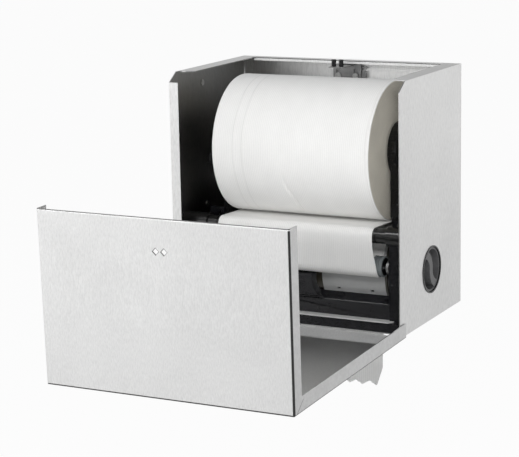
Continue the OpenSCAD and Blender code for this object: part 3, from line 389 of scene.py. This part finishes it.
def towelling(name, colour, seams=()):
    m, tree, shader = new_material(name, Specular_IOR_Level=0.25, Sheen_Weight=0.08, Sheen_Roughness=0.6)
    fibre = grain(tree, (900.0, 500.0, 500.0), 6.0, 0.7, 0.4)
    blotch = grain(tree, (45.0, 30.0, 30.0), 4.0)
    x = place_of(tree)[0]
    # Painted shade of the ribs across the colour
    rib_shade = math_node(tree, "COSINE", times(tree, x, 2 * math.pi / (RIB_PITCH * MM)))
    both = weighed(tree, fibre, 0.35, blotch, 0.25)
    both = plus(tree, both, spread(tree, rib_shade, -1.0, 1.0, 0.1, 0.3))
    for place, _ in seams:
        sway = spread(tree, grain(tree, (0.0, 9.0, 9.0), 2.0), 0.3, 0.7, -PAPER_SEAM_SWAY, PAPER_SEAM_SWAY)
        off = distance(tree, plus(tree, x, sway), place * MM)
        both = minus(tree, both, spread(tree, off, *PAPER_SEAM_LINE, PAPER_SEAM_SHADE, 0.0))
    tint = 0.06
    tone = ramp(tree, both, [(0.0, shade(colour, 1 - 3 * tint)), (0.33, shade(colour, 1 - tint)),
                             (0.67, shade(colour, 1 + tint))])
    surface(tree, shader, tone, spread(tree, fibre, 0.3, 0.7, 0.84, 0.95), fibre, 0.35, FIBRE_DEEP)
    return m


# Paper edges per metre at the roll's cut end
EDGE_RINGS = 900.0


def wound_edge(name, colour, axis_y, axis_z):
    # The roll's cut end: thin rings of paper edges round the roll's axis
    m, tree, shader = new_material(name, Specular_IOR_Level=0.2)
    y, z = place_of(tree)[1:]
    dy, dz = minus(tree, y, axis_y), minus(tree, z, axis_z)
    radius = math_node(tree, "SQRT", plus(tree, times(tree, dy, dy), times(tree, dz, dz)))
    line = add(tree, "ShaderNodeCombineXYZ", {"X": times(tree, radius, EDGE_RINGS)}).outputs["Vector"]
    rings = add(tree, "ShaderNodeTexNoise", {"Vector": line, "Scale": 1.0, "Detail": 4.0,
                                             "Roughness": 0.65}).outputs["Fac"]
    blotch = grain(tree, (22.0, 22.0, 22.0), 4.0)
    both = weighed(tree, rings, 0.55, blotch, 0.45)
    tone = ramp(tree, both, [(0.33, shade(colour, 0.84)), (0.67, shade(colour, 1.1))])
    surface(tree, shader, tone, spread(tree, rings, 0.3, 0.7, 0.8, 0.95), rings, 0.5, RINGS_DEEP)
    return m


# Colours, and directions of brushing and turning in waves per metre
CABINET_TONE, CABINET_TINT = (0.71, 0.71, 0.705), 0.12
COVER_TONE, COVER_TINT = (0.825, 0.825, 0.82), 0.11
GUIDE_TONE = (0.006, 0.006, 0.006)
DRUM_TONE = (0.5, 0.505, 0.5)
PAPER_TONE = (0.85, 0.846, 0.83)
PAPER_EDGE_TONE = (0.91, 0.866, 0.76)
BRUSHED_UP = (600.0, 350.0, 130.0)
BRUSHED_COVER = (900.0, 210.0, 210.0)
BRUSHED_BRACKET = (420.0, 420.0, 40.0)
TURNED = (900.0, 60.0, 60.0)
GROUND = (60.0, 700.0, 700.0)
DRAWN = (200.0, 200.0, 200.0)
TUMBLED = (300.0, 300.0, 300.0)

PLAIN_STEELS = {
    "fastener_steel": {"colour": (0.66, 0.66, 0.65), "streak": TUMBLED},
    "bracket_steel": {"colour": (0.36, 0.36, 0.36), "streak": BRUSHED_BRACKET, "rough": (0.34, 0.5)},
    "shaft_steel": {"colour": (0.62, 0.62, 0.62), "streak": TURNED, "rough": (0.18, 0.3)},
    "blade_steel": {"colour": (0.72, 0.72, 0.73), "streak": GROUND, "rough": (0.16, 0.28)},
    "spring_steel": {"colour": (0.46, 0.47, 0.48), "streak": DRAWN, "rough": (0.28, 0.42)},
}
DRUM_FINISH = {"colour": DRUM_TONE, "rough": (0.34, 0.46), "dust": 0.9, "bump": 0.08}
MOULDINGS = {
    "chassis_black": {"colour": (0.007, 0.007, 0.0085), "rough": (0.22, 0.32), "gloss": 0.4},
    "guide_black": {"colour": GUIDE_TONE, "rough": (0.14, 0.22), "size": 900.0, "bump": 0.04,
                    "gloss": 0.26},
    "trim_black": {"colour": (0.010, 0.010, 0.011), "rough": (0.2, 0.3)},
    "knob_dark": {"colour": (0.10, 0.10, 0.102), "rough": (0.28, 0.4), "dust": 1.2},
    "hub_dark": {"colour": RIM_DARK, "rough": (0.36, 0.5)},
    "drum_white": DRUM_FINISH,
    "ring_rubber": {"colour": (0.17, 0.185, 0.19), "rough": (0.6, 0.78), "dust": 1.25, "bump": 0.35},
    "core_board": {"colour": (0.33, 0.29, 0.21), "rough": (0.75, 0.9), "dust": 0.85, "size": 500.0,
                   "bump": 0.4},
}

looks = {
    "cabinet_steel": brushed_steel("cabinet_steel", CABINET_TONE, BRUSHED_UP, CABINET_TINT),
    "cover_steel": brushed_steel("cover_steel", COVER_TONE, BRUSHED_COVER, COVER_TINT,
                                 cover_marks_and_shade, cover_highlights),
    "towel_paper": towelling("towel_paper", PAPER_TONE),
}
for slot, settings in PLAIN_STEELS.items():
    looks[slot] = plain_steel(slot, **settings)
for slot, settings in MOULDINGS.items():
    looks[slot] = moulded(slot, **settings)

WEARS = {
    "cabinet_steel": ["back_panel", "left_side_panel", "right_side_panel", "bottom_pan", "front_rail"],
    "cover_steel": ["front_cover"],
    "fastener_steel": ["panel_rivets", "latch_rivets", "hinge_pins", "hinge_washers", "chassis_screws",
                       "left_hub_clip", "right_hub_clip"],
    "bracket_steel": ["lock_bracket", "latch_slider", "pinch_clips"],
    "shaft_steel": ["drum_shaft", "crank_pin", "knife_shaft", "pinch_shaft", "arm_pivot_pins"],
    "blade_steel": ["knife_blade"],
    "chassis_black": ["rail_base", "left_cheek", "right_cheek", "chute_frame", "rear_plate",
                      "outlet_collar"],
    "guide_black": ["guide_bar", "left_roll_arm", "right_roll_arm", "pinch_core"],
    "trim_black": ["latch_noses", "knob_bezel"],
    "knob_dark": ["feed_knob"],
    "hub_dark": ["left_hub", "right_hub", "knife_cam", "knife_carrier", "drum_waist"],
    "drum_white": ["drum_shell_left", "drum_shell_right", "drum_cap_left", "drum_cap_right", "drum_bushes",
                   "crank_disc", "cam_follower", "pinch_bearings"],
    "ring_rubber": ["pinch_rings"],
    "core_board": ["roll_core"],
}


def dress(obj, slot):
    obj.data.materials.clear()
    obj.data.materials.append(looks[slot])


for slot, names in WEARS.items():
    for name in names:
        dress(nodes[name], slot)


# Finishes of single pieces: panels with painted shade and painted highlights, dark drum rims partly painted
# as shade, a bar polished by the paper, a glossier chute and the satin strip at the front edge
def cabinet_panel(name, marks, matt=None):
    return brushed_steel(name, CABINET_TONE, BRUSHED_UP, CABINET_TINT, marks, matt)


rimmed_drum = moulded("drum_white_rimmed", marks=drum_rims, **DRUM_FINISH)
OWN_LOOKS = {
    "left_side_panel": cabinet_panel("left_panel_steel", painted_shade_facing(0, INSIDE_SHADE), left_corner_highlight),
    "back_panel": cabinet_panel("back_panel_steel", back_shade, back_painted_light),
    "right_side_panel": cabinet_panel("right_panel_steel", painted_shade_facing(2, RIGHT_TOP_DARK)),
    "drum_shell_left": rimmed_drum,
    "drum_shell_right": rimmed_drum,
    "guide_bar": moulded("guide_polished", GUIDE_TONE, (0.2, 0.28), size=900.0, bump=0.03, gloss=0.55),
    "chute_frame": moulded("chute_gloss", (0.006, 0.006, 0.0075), (0.24, 0.34), gloss=0.7),
    "front_rail": moulded("rail_satin", (0.74, 0.74, 0.73), (0.4, 0.55), dust=0.94, size=700.0),
}
for name, look in OWN_LOOKS.items():
    nodes[name].data.materials[0] = look

# Small rounds on moulded edges that are sharp in the solids
ROUNDS = {"chute_frame": 1.2, "feed_knob": 0.5, "right_roll_arm": 0.6, "left_roll_arm": 0.6,
          "latch_noses": 0.4}
ROUND_STEPS, SHARP_FROM, JOIN_WITHIN = 3, math.radians(40), 0.00001
for name, size in ROUNDS.items():
    joined = nodes[name].modifiers.new("joined", "WELD")
    joined.merge_threshold = JOIN_WITHIN
    edge = nodes[name].modifiers.new("edge_round", "BEVEL")
    edge.width = size * MM
    edge.segments = ROUND_STEPS
    edge.limit_method = "ANGLE"
    edge.angle_limit = SHARP_FROM
    edge.use_clamp_overlap = False
    edge.harden_normals = True


# New pieces

def linked(name, mesh, slot):
    obj = bpy.data.objects.new(name, mesh)
    bpy.context.scene.collection.objects.link(obj)
    dress(obj, slot)
    return obj


def piece(name, points, faces, slot, body, replaced):
    mesh = bpy.data.meshes.new(name)
    mesh.from_pydata([tuple(p) for p in points], [], faces)
    mesh.validate()
    mesh.polygons.foreach_set("use_smooth", [True] * len(mesh.polygons))
    mesh.update()
    obj = linked(name, mesh, slot)
    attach(obj, body)
    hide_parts(replaced)
    return obj


def smoothstep(a, b, v):
    t = min(1.0, max(0.0, (v - a) / (b - a)))
    return t * t * (3 - 2 * t)


def bell(offset, width):
    return math.exp(-(offset / width) ** 2)


def ripple(a, b, c):
    return noise.noise(Vector((a, b, c)))


def polar(c, r, degrees):
    return (c[0] + r * math.cos(math.radians(degrees)), c[1] + r * math.sin(math.radians(degrees)))


# Degrees between the points of an arc
ARC_STEP = 2.0


def arc(c, r, a, b):
    n = max(2, math.ceil(abs(b - a) / ARC_STEP))
    return [polar(c, r, a + (b - a) * i / n) for i in range(n + 1)]


# Sizes of the paper and what it runs over, as in the solids; places are y and z
PAPER = 0.3
GAP = 0.3
ROLL_X = (-98.0, 107.0)
ROLL_AT, ROLL_R = (-105.0, 206.0), 84.5
CORE_R = 21.5
GUIDE_AT, GUIDE_R = (-168.0, 114.0), 9.0
DRUM_AT, DRUM_R = (-98.0, 62.0), 52.0
PINCH_AT, PINCH_R, PINCH_ANGLE, PINCH_LIFT = (-161.9231, 75.8206), 12.5, 12.2, 0.8
TAIL_Y, TAIL_DROP, TAIL_BEND, EXIT_LEAN = -148.0, 76.0, 30.0, 8.0
TEAR_PITCH, TEAR_DEPTH = 17.0, 5.0


def rib(x):
    return RIB_H * math.cos(2 * math.pi * x / RIB_PITCH)


def paper_x(i, columns):
    return ROLL_X[0] + (ROLL_X[1] - ROLL_X[0]) * i / columns


class Route:
    # A path in the y, z plane that can be asked for a place and a side direction at any length
    SAME_POINT = 1e-6

    def __init__(self, points):
        self.points = [points[0]]
        for q in points[1:]:
            if math.dist(q, self.points[-1]) > self.SAME_POINT:
                self.points.append(q)
        self.lengths = [0.0]
        for a, b in zip(self.points, self.points[1:]):
            self.lengths.append(self.lengths[-1] + math.dist(a, b))
        self.length = self.lengths[-1]
        self.sides = []
        last = len(self.points) - 1
        for i in range(last + 1):
            a, b = self.points[max(i - 1, 0)], self.points[min(i + 1, last)]
            d = math.dist(a, b)
            self.sides.append((-(b[1] - a[1]) / d, (b[0] - a[0]) / d))

    def find(self, s):
        s = min(max(s, 0.0), self.length)
        i = 0
        while i < len(self.lengths) - 2 and self.lengths[i + 1] < s:
            i += 1
        t = (s - self.lengths[i]) / (self.lengths[i + 1] - self.lengths[i])
        place = [a + (b - a) * t for a, b in zip(self.points[i], self.points[i + 1])]
        side = [a + (b - a) * t for a, b in zip(self.sides[i], self.sides[i + 1])]
        size = math.hypot(*side)
        return place, (side[0] / size, side[1] / size)


# Width at the paper's right edge that a flare moves
FLARE_W = 45.0


def paper_sheet(name, route, mesh, replaced, lift, end=None, flare=None):
    # A sheet of the paper's thickness along a route; lift moves both faces, end gives each column's length
    # and flare moves the right edge sideways
    columns, rows = mesh
    points = []
    for face in (0.5, -0.5):
        for i in range(columns + 1):
            x = paper_x(i, columns)
            reach = end(x) if end else route.length
            for j in range(rows + 1):
                s = reach * j / rows
                (y, z), (ny, nz) = route.find(s)
                d = face * PAPER + lift(x, s)
                out = flare(s) * smoothstep(ROLL_X[1] - FLARE_W, ROLL_X[1], x) if flare else 0.0
                points.append(at(x + out, y + ny * d, z + nz * d))
    w, half = rows + 1, (columns + 1) * (rows + 1)
    faces = []
    for i in range(columns):
        for j in range(rows):
            a, b, c, d = i * w + j, (i + 1) * w + j, (i + 1) * w + j + 1, i * w + j + 1
            faces.append((a, d, c, b))
            faces.append((half + a, half + b, half + c, half + d))
    rim = [i * w for i in range(columns + 1)]
    rim += [columns * w + j for j in range(1, rows + 1)]
    rim += [i * w + rows for i in range(columns - 1, -1, -1)]
    rim += [j for j in range(rows - 1, 0, -1)]
    for a, b in zip(rim, rim[1:] + rim[:1]):
        faces.append((a, b, half + b, half + a))
    return piece(name, points, faces, "towel_paper", "cabinet", replaced)


# Paper from the roll over the guide bar and round the pinch roller
web_roll_r = ROLL_R + GAP + PAPER / 2
web_guide_r = GUIDE_R + GAP + PAPER / 2
web_pinch_r = PINCH_R + GAP + PINCH_LIFT / 2 + PAPER / 2
pinch_dir = (-math.cos(math.radians(PINCH_ANGLE)), math.sin(math.radians(PINCH_ANGLE)))
web_pinch_at = (PINCH_AT[0] + PINCH_LIFT / 2 * pinch_dir[0], PINCH_AT[1] + PINCH_LIFT / 2 * pinch_dir[1])
to_guide = (GUIDE_AT[0] - ROLL_AT[0], GUIDE_AT[1] - ROLL_AT[1])
to_pinch = (web_pinch_at[0] - GUIDE_AT[0], web_pinch_at[1] - GUIDE_AT[1])
leave = math.degrees(math.atan2(to_guide[1], to_guide[0])
                     + math.acos((web_roll_r + web_guide_r) / math.hypot(*to_guide)))
drop = math.degrees(math.atan2(to_pinch[1], to_pinch[0])
                    - math.acos((web_guide_r - web_pinch_r) / math.hypot(*to_pinch))) + 360
nip = 180 - PINCH_ANGLE
web = Route([polar(ROLL_AT, web_roll_r, leave)] + arc(GUIDE_AT, web_guide_r, leave + 180, drop)
            + arc(web_pinch_at, web_pinch_r, drop, nip + 180))
# Length of the web up to where it leaves the guide bar
web_turn = math.dist(web.points[0], web.points[1]) + math.radians(drop - leave - 180) * web_guide_r

# Columns and rows of each sheet
WEB_MESH, WRAP_MESH, TAIL_MESH = (344, 76), (172, 90), (344, 64)
# Third coordinate of the ripples, so that no two pieces share a pattern
ROLL_SLICE, WEB_SLICE, RING_SLICE, TEAR_SLICE = 1.0, 3.0, 5.0, 7.0
WEB_RIB, WEB_RIPPLE, WEB_RIPPLE_SCALE = 1.8, 0.05, 0.05
# Moves of the web's right edge, and the shares of the way from guide bar to nip between which each grows:
# drawn in over the guide bar, wider where the pinch roller takes it
WEB_FLARE = ((-1.0, -0.6, 0.0), (5.4, 0.1, 0.62), (-4.4, 0.66, 1.0))


def web_lift(x, s):
    return WEB_RIB * rib(x) + WEB_RIPPLE * ripple(x * WEB_RIPPLE_SCALE, s * WEB_RIPPLE_SCALE, WEB_SLICE)


def web_flare(s):
    after = (s - web_turn) / (web.length - web_turn)
    return sum(move * smoothstep(start, stop, after) for move, start, stop in WEB_FLARE)


towel_web = paper_sheet("towel_web", web, WEB_MESH, "paper_web", web_lift, flare=web_flare)

# Paper round the drum
wrap_r = DRUM_R + GAP + PAPER / 2
wrap = Route(arc(DRUM_AT, wrap_r, nip, EXIT_LEAN - 90))
towel_wrap = paper_sheet("towel_wrap", wrap, WRAP_MESH, "paper_wrap", lambda x, s: rib(x))

# Hanging tail with its torn edge
lean = math.radians(EXIT_LEAN)
tail_start = polar(DRUM_AT, wrap_r, EXIT_LEAN - 90)
tail_run = (tail_start[0] + TAIL_BEND * (math.sin(lean) - 1) - TAIL_Y) / math.cos(lean)
tail_centre = (tail_start[0] - tail_run * math.cos(lean) + TAIL_BEND * math.sin(lean),
               tail_start[1] - tail_run * math.sin(lean) - TAIL_BEND * math.cos(lean))
tail = Route([tail_start] + arc(tail_centre, TAIL_BEND, EXIT_LEAN + 90, 180) + [(TAIL_Y, -TAIL_DROP)])

# The torn edge: width and height of the missing right corner, how far all teeth end above the full length,
# the mean length lost, and the size, scale and row of its ragged ripples
TORN_W, TORN_H = 9.0, 22.5
TEAR_SHORT, TEAR_MEAN = 0.8, 3.6
TEAR_RAGGED = ((0.5, 0.9, 0.0), (0.3, 3.1, 2.0))
# The tail's waves: size, length and phase; they grow from TAIL_FREE on, and TAIL_BACK moves them back
TAIL_WAVES = ((2.4, 118.0, 0.8), (0.8, 41.0, 0.0))
TAIL_FREE, TAIL_BACK = 30.0, 1.6


def tail_end(x):
    part = ((ROLL_X[1] - x) / TEAR_PITCH) % 1.0
    tooth = TEAR_DEPTH * abs(1 - 2 * part)
    ragged = sum(size * ripple(x * scale, row, TEAR_SLICE) for size, scale, row in TEAR_RAGGED)
    corner = max(0.0, (x - ROLL_X[1] + TORN_W) / TORN_W) * (TORN_H + TEAR_DEPTH) - TEAR_DEPTH
    return tail.length - max(tooth, corner) - TEAR_SHORT - ragged


def tail_lift(x, s):
    wave = sum(size * math.sin(2 * math.pi * x / length + phase) for size, length, phase in TAIL_WAVES)
    return rib(x) + smoothstep(TAIL_FREE, tail.length, s) * (wave - TAIL_BACK)


towel_tail = paper_sheet("towel_tail", tail, TAIL_MESH, "paper_tail", tail_lift, tail_end)

# The roll: ribbed outside with seams and one slanting crease, rings of edges at its ends
AROUND, ALONG, RINGS = 240, 344, 46
ROLL_UNEVEN, ROLL_RIPPLE_SCALE = 0.10, 0.02
ROLL_SEAM_SWAY, ROLL_SEAM_SCALE, ROLL_SEAM_W = 1.2, 0.015, 0.9
# The crease: degrees between which it grows and ends, its place and slant along x, then depth, offset and
# width of its dent, and height and width of its ridge
CREASE_START, CREASE_STOP = (193.0, 206.0), (236.0, 250.0)
CREASE_X, CREASE_SLANT, CREASE_SLANT_OVER = -3.0, 9.0, (198.0, 228.0)
DENT_DEPTH, DENT_OFF, DENT_W = 1.7, 2.6, 2.0
RIDGE_H, RIDGE_W = 0.14, 1.4
ROLL_EDGE_DROP, ROLL_EDGE_W = 0.5, 1.4
# The ends: drop of the outermost ring, play and depth of the bore, then pitch and sizes of the rings' steps
END_DROP, BORE_PLAY, BORE_DEPTH = 0.6, 0.03, 0.15
RING_PITCH, RING_STEP, RING_LEAST, RING_WAVE = 1.9, 0.16, 0.02, 0.10
RING_UNEVEN, RING_SCALE, RING_TURN_SCALE = 0.14, 1.7, 0.004


def roll_dent(x, degrees):
    d = RIB_H - rib(x)
    d += ROLL_UNEVEN + ROLL_UNEVEN * ripple(x * ROLL_RIPPLE_SCALE, degrees * ROLL_RIPPLE_SCALE, ROLL_SLICE)
    for seam, depth in ROLL_SEAMS:
        place = seam + ROLL_SEAM_SWAY * ripple(degrees * ROLL_SEAM_SCALE, seam, 0.0)
        d += depth * bell(x - place, ROLL_SEAM_W)
    run = smoothstep(*CREASE_START, degrees) * (1 - smoothstep(*CREASE_STOP, degrees))
    crease = CREASE_X + CREASE_SLANT * smoothstep(*CREASE_SLANT_OVER, degrees)
    d += run * (DENT_DEPTH * bell(x - crease + DENT_OFF, DENT_W) - RIDGE_H * bell(x - crease, RIDGE_W))
    edge = min(x - ROLL_X[0], ROLL_X[1] - x)
    return max(0.0, d) + ROLL_EDGE_DROP * (1 - smoothstep(0.0, ROLL_EDGE_W, edge))


def ring_step(r, degrees):
    turn = r / RING_PITCH + degrees / 360.0
    step = RING_STEP + RING_UNEVEN * ripple(turn * RING_SCALE, degrees * RING_TURN_SCALE, RING_SLICE)
    return max(RING_LEAST, step + RING_WAVE * math.sin(2 * math.pi * turn))


def towel_roll():
    bore, rim = CORE_R + BORE_PLAY, ROLL_R - END_DROP
    profile = [("side", paper_x(i, ALONG)) for i in range(ALONG + 1)]
    profile += [("right", k) for k in range(1, RINGS)]
    profile += [("bore", x) for x in (ROLL_X[1] - BORE_DEPTH, ROLL_X[0] + BORE_DEPTH)]
    profile += [("left", k) for k in range(RINGS - 1, 0, -1)]
    points = []
    for kind, v in profile:
        for j in range(AROUND):
            degrees = 360.0 * j / AROUND
            if kind == "side":
                x, r = v, ROLL_R - roll_dent(v, degrees)
            elif kind == "bore":
                x, r = v, bore
            else:
                r = rim + (bore - rim) * v / RINGS
                step = ring_step(r, degrees)
                x = ROLL_X[1] - step if kind == "right" else ROLL_X[0] + step
            y, z = polar(ROLL_AT, r, degrees)
            points.append(at(x, y, z))
    n = len(profile)
    faces = []
    for i in range(n):
        for j in range(AROUND):
            a, b = i * AROUND, ((i + 1) % n) * AROUND
            k = (j + 1) % AROUND
            faces.append((a + j, a + k, b + k, b + j))
    obj = piece("towel_roll", points, faces, "towel_paper", "roll", "paper_roll")
    axis_y, axis_z = at(0.0, *ROLL_AT)[1:]
    obj.data.materials[0] = towelling("roll_paper", PAPER_TONE, ROLL_SEAMS)
    obj.data.materials.append(wound_edge("towel_edge", PAPER_EDGE_TONE, axis_y, axis_z))
    for i, polygon in enumerate(obj.data.polygons):
        polygon.material_index = 0 if i // AROUND < ALONG else 1


towel_roll()


# Round-wire compression springs between two given points
COIL_SIDES, COIL_STEPS = 10, 20


def ring(u, v, share):
    return u * math.cos(2 * math.pi * share) + v * math.sin(2 * math.pi * share)


def coil(name, start, end, radius, wire, turns, replaced):
    axis = (end - start).normalized()
    u = axis.orthogonal().normalized()
    v = axis.cross(u)
    length = (end - start).length - wire
    count = turns * COIL_STEPS
    path = []
    for i in range(count + 1):
        rise = axis * (wire / 2 + length * i / count)
        path.append(start + rise + ring(u, v, i / COIL_STEPS) * radius)
    points, faces = [], []
    for i, p in enumerate(path):
        t = (path[min(i + 1, count)] - path[max(i - 1, 0)]).normalized()
        out = p - start
        out = (out - axis * out.dot(axis)).normalized()
        out = (out - t * out.dot(t)).normalized()
        side = t.cross(out)
        points += [p + ring(out, side, k / COIL_SIDES) * wire / 2 for k in range(COIL_SIDES)]
    for i in range(count):
        a, b = i * COIL_SIDES, (i + 1) * COIL_SIDES
        for k in range(COIL_SIDES):
            m = (k + 1) % COIL_SIDES
            faces.append((a + k, a + m, b + m, b + k))
    faces.append(tuple(range(COIL_SIDES - 1, -1, -1)))
    faces.append(tuple(count * COIL_SIDES + k for k in range(COIL_SIDES)))
    return piece(name, points, faces, "spring_steel", "cabinet", replaced)


LATCH_Y, LATCH_Z, LATCH_TRAVEL = -11.5, (256.0, 274.0), 7.0
LATCH_COIL_R, LATCH_WIRE, LATCH_TURNS = 3 * MM, 0.9 * MM, 5
latch_seat, latch_tab = (at(0.0, LATCH_Y, z) for z in LATCH_Z)
latch_coil = coil("latch_coil", latch_seat, latch_tab, LATCH_COIL_R, LATCH_WIRE, LATCH_TURNS,
                  "latch_spring")
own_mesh(latch_coil)

ARM_Y, ARM_Z, ARM_SHIFT = -105.0, 181.5, 10.9
ARM_COIL_R, ARM_WIRE, ARM_TURNS = 6 * MM, 1.2 * MM, 7
# Names of piece, solid and joint, then x at the arm and at the seat
ARM_COILS = (
    ("right_arm_coil", "right_arm_spring", "right_arm_swing", 121.6, 148.8),
    ("left_arm_coil", "left_arm_spring", "left_arm_swing", -112.6, -148.8),
)
for name, node, joint, arm_x, seat_x in ARM_COILS:
    seat = at(seat_x, ARM_Y, ARM_Z)
    arm_coil = coil(name, at(arm_x, ARM_Y, ARM_Z), seat, ARM_COIL_R, ARM_WIRE, ARM_TURNS, node)
    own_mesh(arm_coil)


# Hooked tension springs in the solids' own form, copied in place of the solids
def hooked(name, node, pull):
    obj = linked(name, nodes[node].data.copy(), "spring_steel")
    pull = Vector(pull)
    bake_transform(obj)
    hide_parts(node)


CRANK_TURN = math.radians(-30)
hooked("return_coil", "return_spring", (0, math.cos(CRANK_TURN), math.sin(CRANK_TURN)))
hooked("pinch_coils", "pinch_springs", (0, -pinch_dir[0], -pinch_dir[1]))

# Camera at the photograph's viewing angle; the focal length and the width are in the photograph's pixels
CAMERA_AT, CAMERA_ANGLES = (0.9331, -2.0833, 0.3594), (27.088, 11.781, -1.132)
FOCAL_PX, WIDTH_PX, SENSOR_MM = 1807.886, 519, 36.0
CAMERA_CLIP = (0.05, 100.0)
azimuth, elevation, tilt = (math.radians(a) for a in CAMERA_ANGLES)
back = Vector((math.sin(azimuth) * math.cos(elevation), -math.cos(azimuth) * math.cos(elevation),
               math.sin(elevation)))
right = Vector((math.cos(azimuth), math.sin(azimuth), 0.0))
up = back.cross(right)
cam_x = right * math.cos(tilt) + up * math.sin(tilt)
cam_y = up * math.cos(tilt) - right * math.sin(tilt)
camera = bpy.data.objects.new("camera", bpy.data.cameras.new("camera"))
bpy.context.scene.collection.objects.link(camera)
camera.matrix_world = Matrix.Translation(CAMERA_AT) @ Matrix((cam_x, cam_y, back)).transposed().to_4x4()
camera.data.sensor_fit = "HORIZONTAL"
camera.data.sensor_width = SENSOR_MM
camera.data.lens = FOCAL_PX / WIDTH_PX * SENSOR_MM
camera.data.clip_start, camera.data.clip_end = CAMERA_CLIP
bpy.context.scene.camera = camera

# Studio lamps: place, width and height, watts, and whether reflections show them
LAMP_AIM = Vector((0.0, -0.2, -0.05))
LAMPS = {
    "front": ((-0.6, -2.5, 0.44), (1.6, 0.26), 23.3, False),
    "right": ((1.0, -2.2, 1.15), (0.5, 0.5), 21.0, False),
    "low": ((0.95, -1.6, -0.3), (0.3, 0.3), 3.2, False),
    "upper": ((-0.82, -1.6, 1.6), (0.5, 0.2), 6.0, True),
    "left": ((-1.7, -2.2, 0.3), (0.8, 0.7), 4.6, True),
    "behind": ((0.25, 0.35, 1.3), (0.6, 0.6), 3.0, False),
}
for name, (place, size, watts, in_gloss) in LAMPS.items():
    light = bpy.data.lights.new(name, "AREA")
    light.shape = "RECTANGLE"
    light.size, light.size_y = size
    light.energy = watts
    lamp = bpy.data.objects.new(name, light)
    bpy.context.scene.collection.objects.link(lamp)
    lamp.location = place
    lamp.rotation_euler = (LAMP_AIM - Vector(place)).to_track_quat("-Z", "Y").to_euler()
    lamp.visible_glossy = in_gloss

# Studio surroundings: reflections find little in the dark corner, and less the higher they look
WHITE = (1.0, 1.0, 1.0, 1.0)
DARK_CORNER, DARK_CORNER_FADE = (0.456, -0.890, 0.0), (0.80, 0.97, 1.0, 0.1)
SOFT_TONE, SOFT_LIGHT = (0.92, 0.95, 1.0, 1.0), 0.16
HIGH_FADE = (0.05, 0.7, 1.0, 0.25)
FLOOR_HALF, FLOOR_Z = 30, -0.62
FLOOR_TONE, FLOOR_GLOW = (0.86, 0.86, 0.86, 1.0), 0.96
FLOOR_NEAR_SHADE = (1.4, 4.2, 0.7, 1.0)


def shown_white(tree, in_metal=1.0):
    # 1 where a ray from the camera or a clear material arrives, in_metal where a reflection does
    ray = add(tree, "ShaderNodeLightPath").outputs
    shine = times(tree, ray["Is Glossy Ray"], in_metal)
    seen = most(tree, ray["Is Camera Ray"], shine, ray["Is Transmission Ray"])
    return times(tree, seen, below(tree, ray["Diffuse Depth"], 0.5))


def vector_math(tree, operation, *vectors):
    return add(tree, "ShaderNodeVectorMath", dict(enumerate(vectors)), operation=operation).outputs


def lit_side(tree, vector):
    flat = vector_math(tree, "MULTIPLY", vector, (1.0, 1.0, 0.0))["Vector"]
    way = vector_math(tree, "NORMALIZE", flat)["Vector"]
    return spread(tree, vector_math(tree, "DOT_PRODUCT", way, DARK_CORNER)["Value"], *DARK_CORNER_FADE)


def blend_shaders(tree, share, first, second, output):
    mix = add(tree, "ShaderNodeMixShader", {0: share, 1: first.outputs[0], 2: second.outputs[0]})
    tree.links.new(mix.outputs[0], add(tree, output).inputs["Surface"])


world = bpy.data.worlds.new("studio")
bpy.context.scene.world = world
world.use_nodes = True
tree = world.node_tree
tree.nodes.clear()
way = coordinate(tree, "Generated")
level = times(tree, spread(tree, parts_of(tree, way)[2], *HIGH_FADE), lit_side(tree, way))
level = most(tree, level, add(tree, "ShaderNodeLightPath").outputs["Is Camera Ray"])
soft = add(tree, "ShaderNodeBackground", {"Color": SOFT_TONE, "Strength": SOFT_LIGHT})
white = add(tree, "ShaderNodeBackground", {"Color": WHITE, "Strength": level})
blend_shaders(tree, shown_white(tree), soft, white, "ShaderNodeOutputWorld")

floor_mesh = bpy.data.meshes.new("floor")
corners = [(-1, -1), (1, -1), (1, 1), (-1, 1)]
floor_mesh.from_pydata([(x * FLOOR_HALF, y * FLOOR_HALF, FLOOR_Z) for x, y in corners], [], [(0, 1, 2, 3)])
floor = bpy.data.objects.new("floor", floor_mesh)
bpy.context.scene.collection.objects.link(floor)
pale = bpy.data.materials.new("pale_floor")
pale.use_nodes = True
tree = pale.node_tree
tree.nodes.clear()
spot = coordinate(tree, "Object")
reach = vector_math(tree, "LENGTH", spot)["Value"]
# In reflections the floor's glow fades near the object as painted shade, and in the dark corner
in_metal = times(tree, spread(tree, reach, *FLOOR_NEAR_SHADE), lit_side(tree, spot))
matt = add(tree, "ShaderNodeBsdfDiffuse", {"Color": FLOOR_TONE})
glow = add(tree, "ShaderNodeEmission", {"Color": WHITE, "Strength": 1.0})
share = times(tree, shown_white(tree, in_metal), FLOOR_GLOW)
blend_shaders(tree, share, matt, glow, "ShaderNodeOutputMaterial")
floor.data.materials.append(pale)

bpy.context.scene.view_settings.view_transform = "Standard"
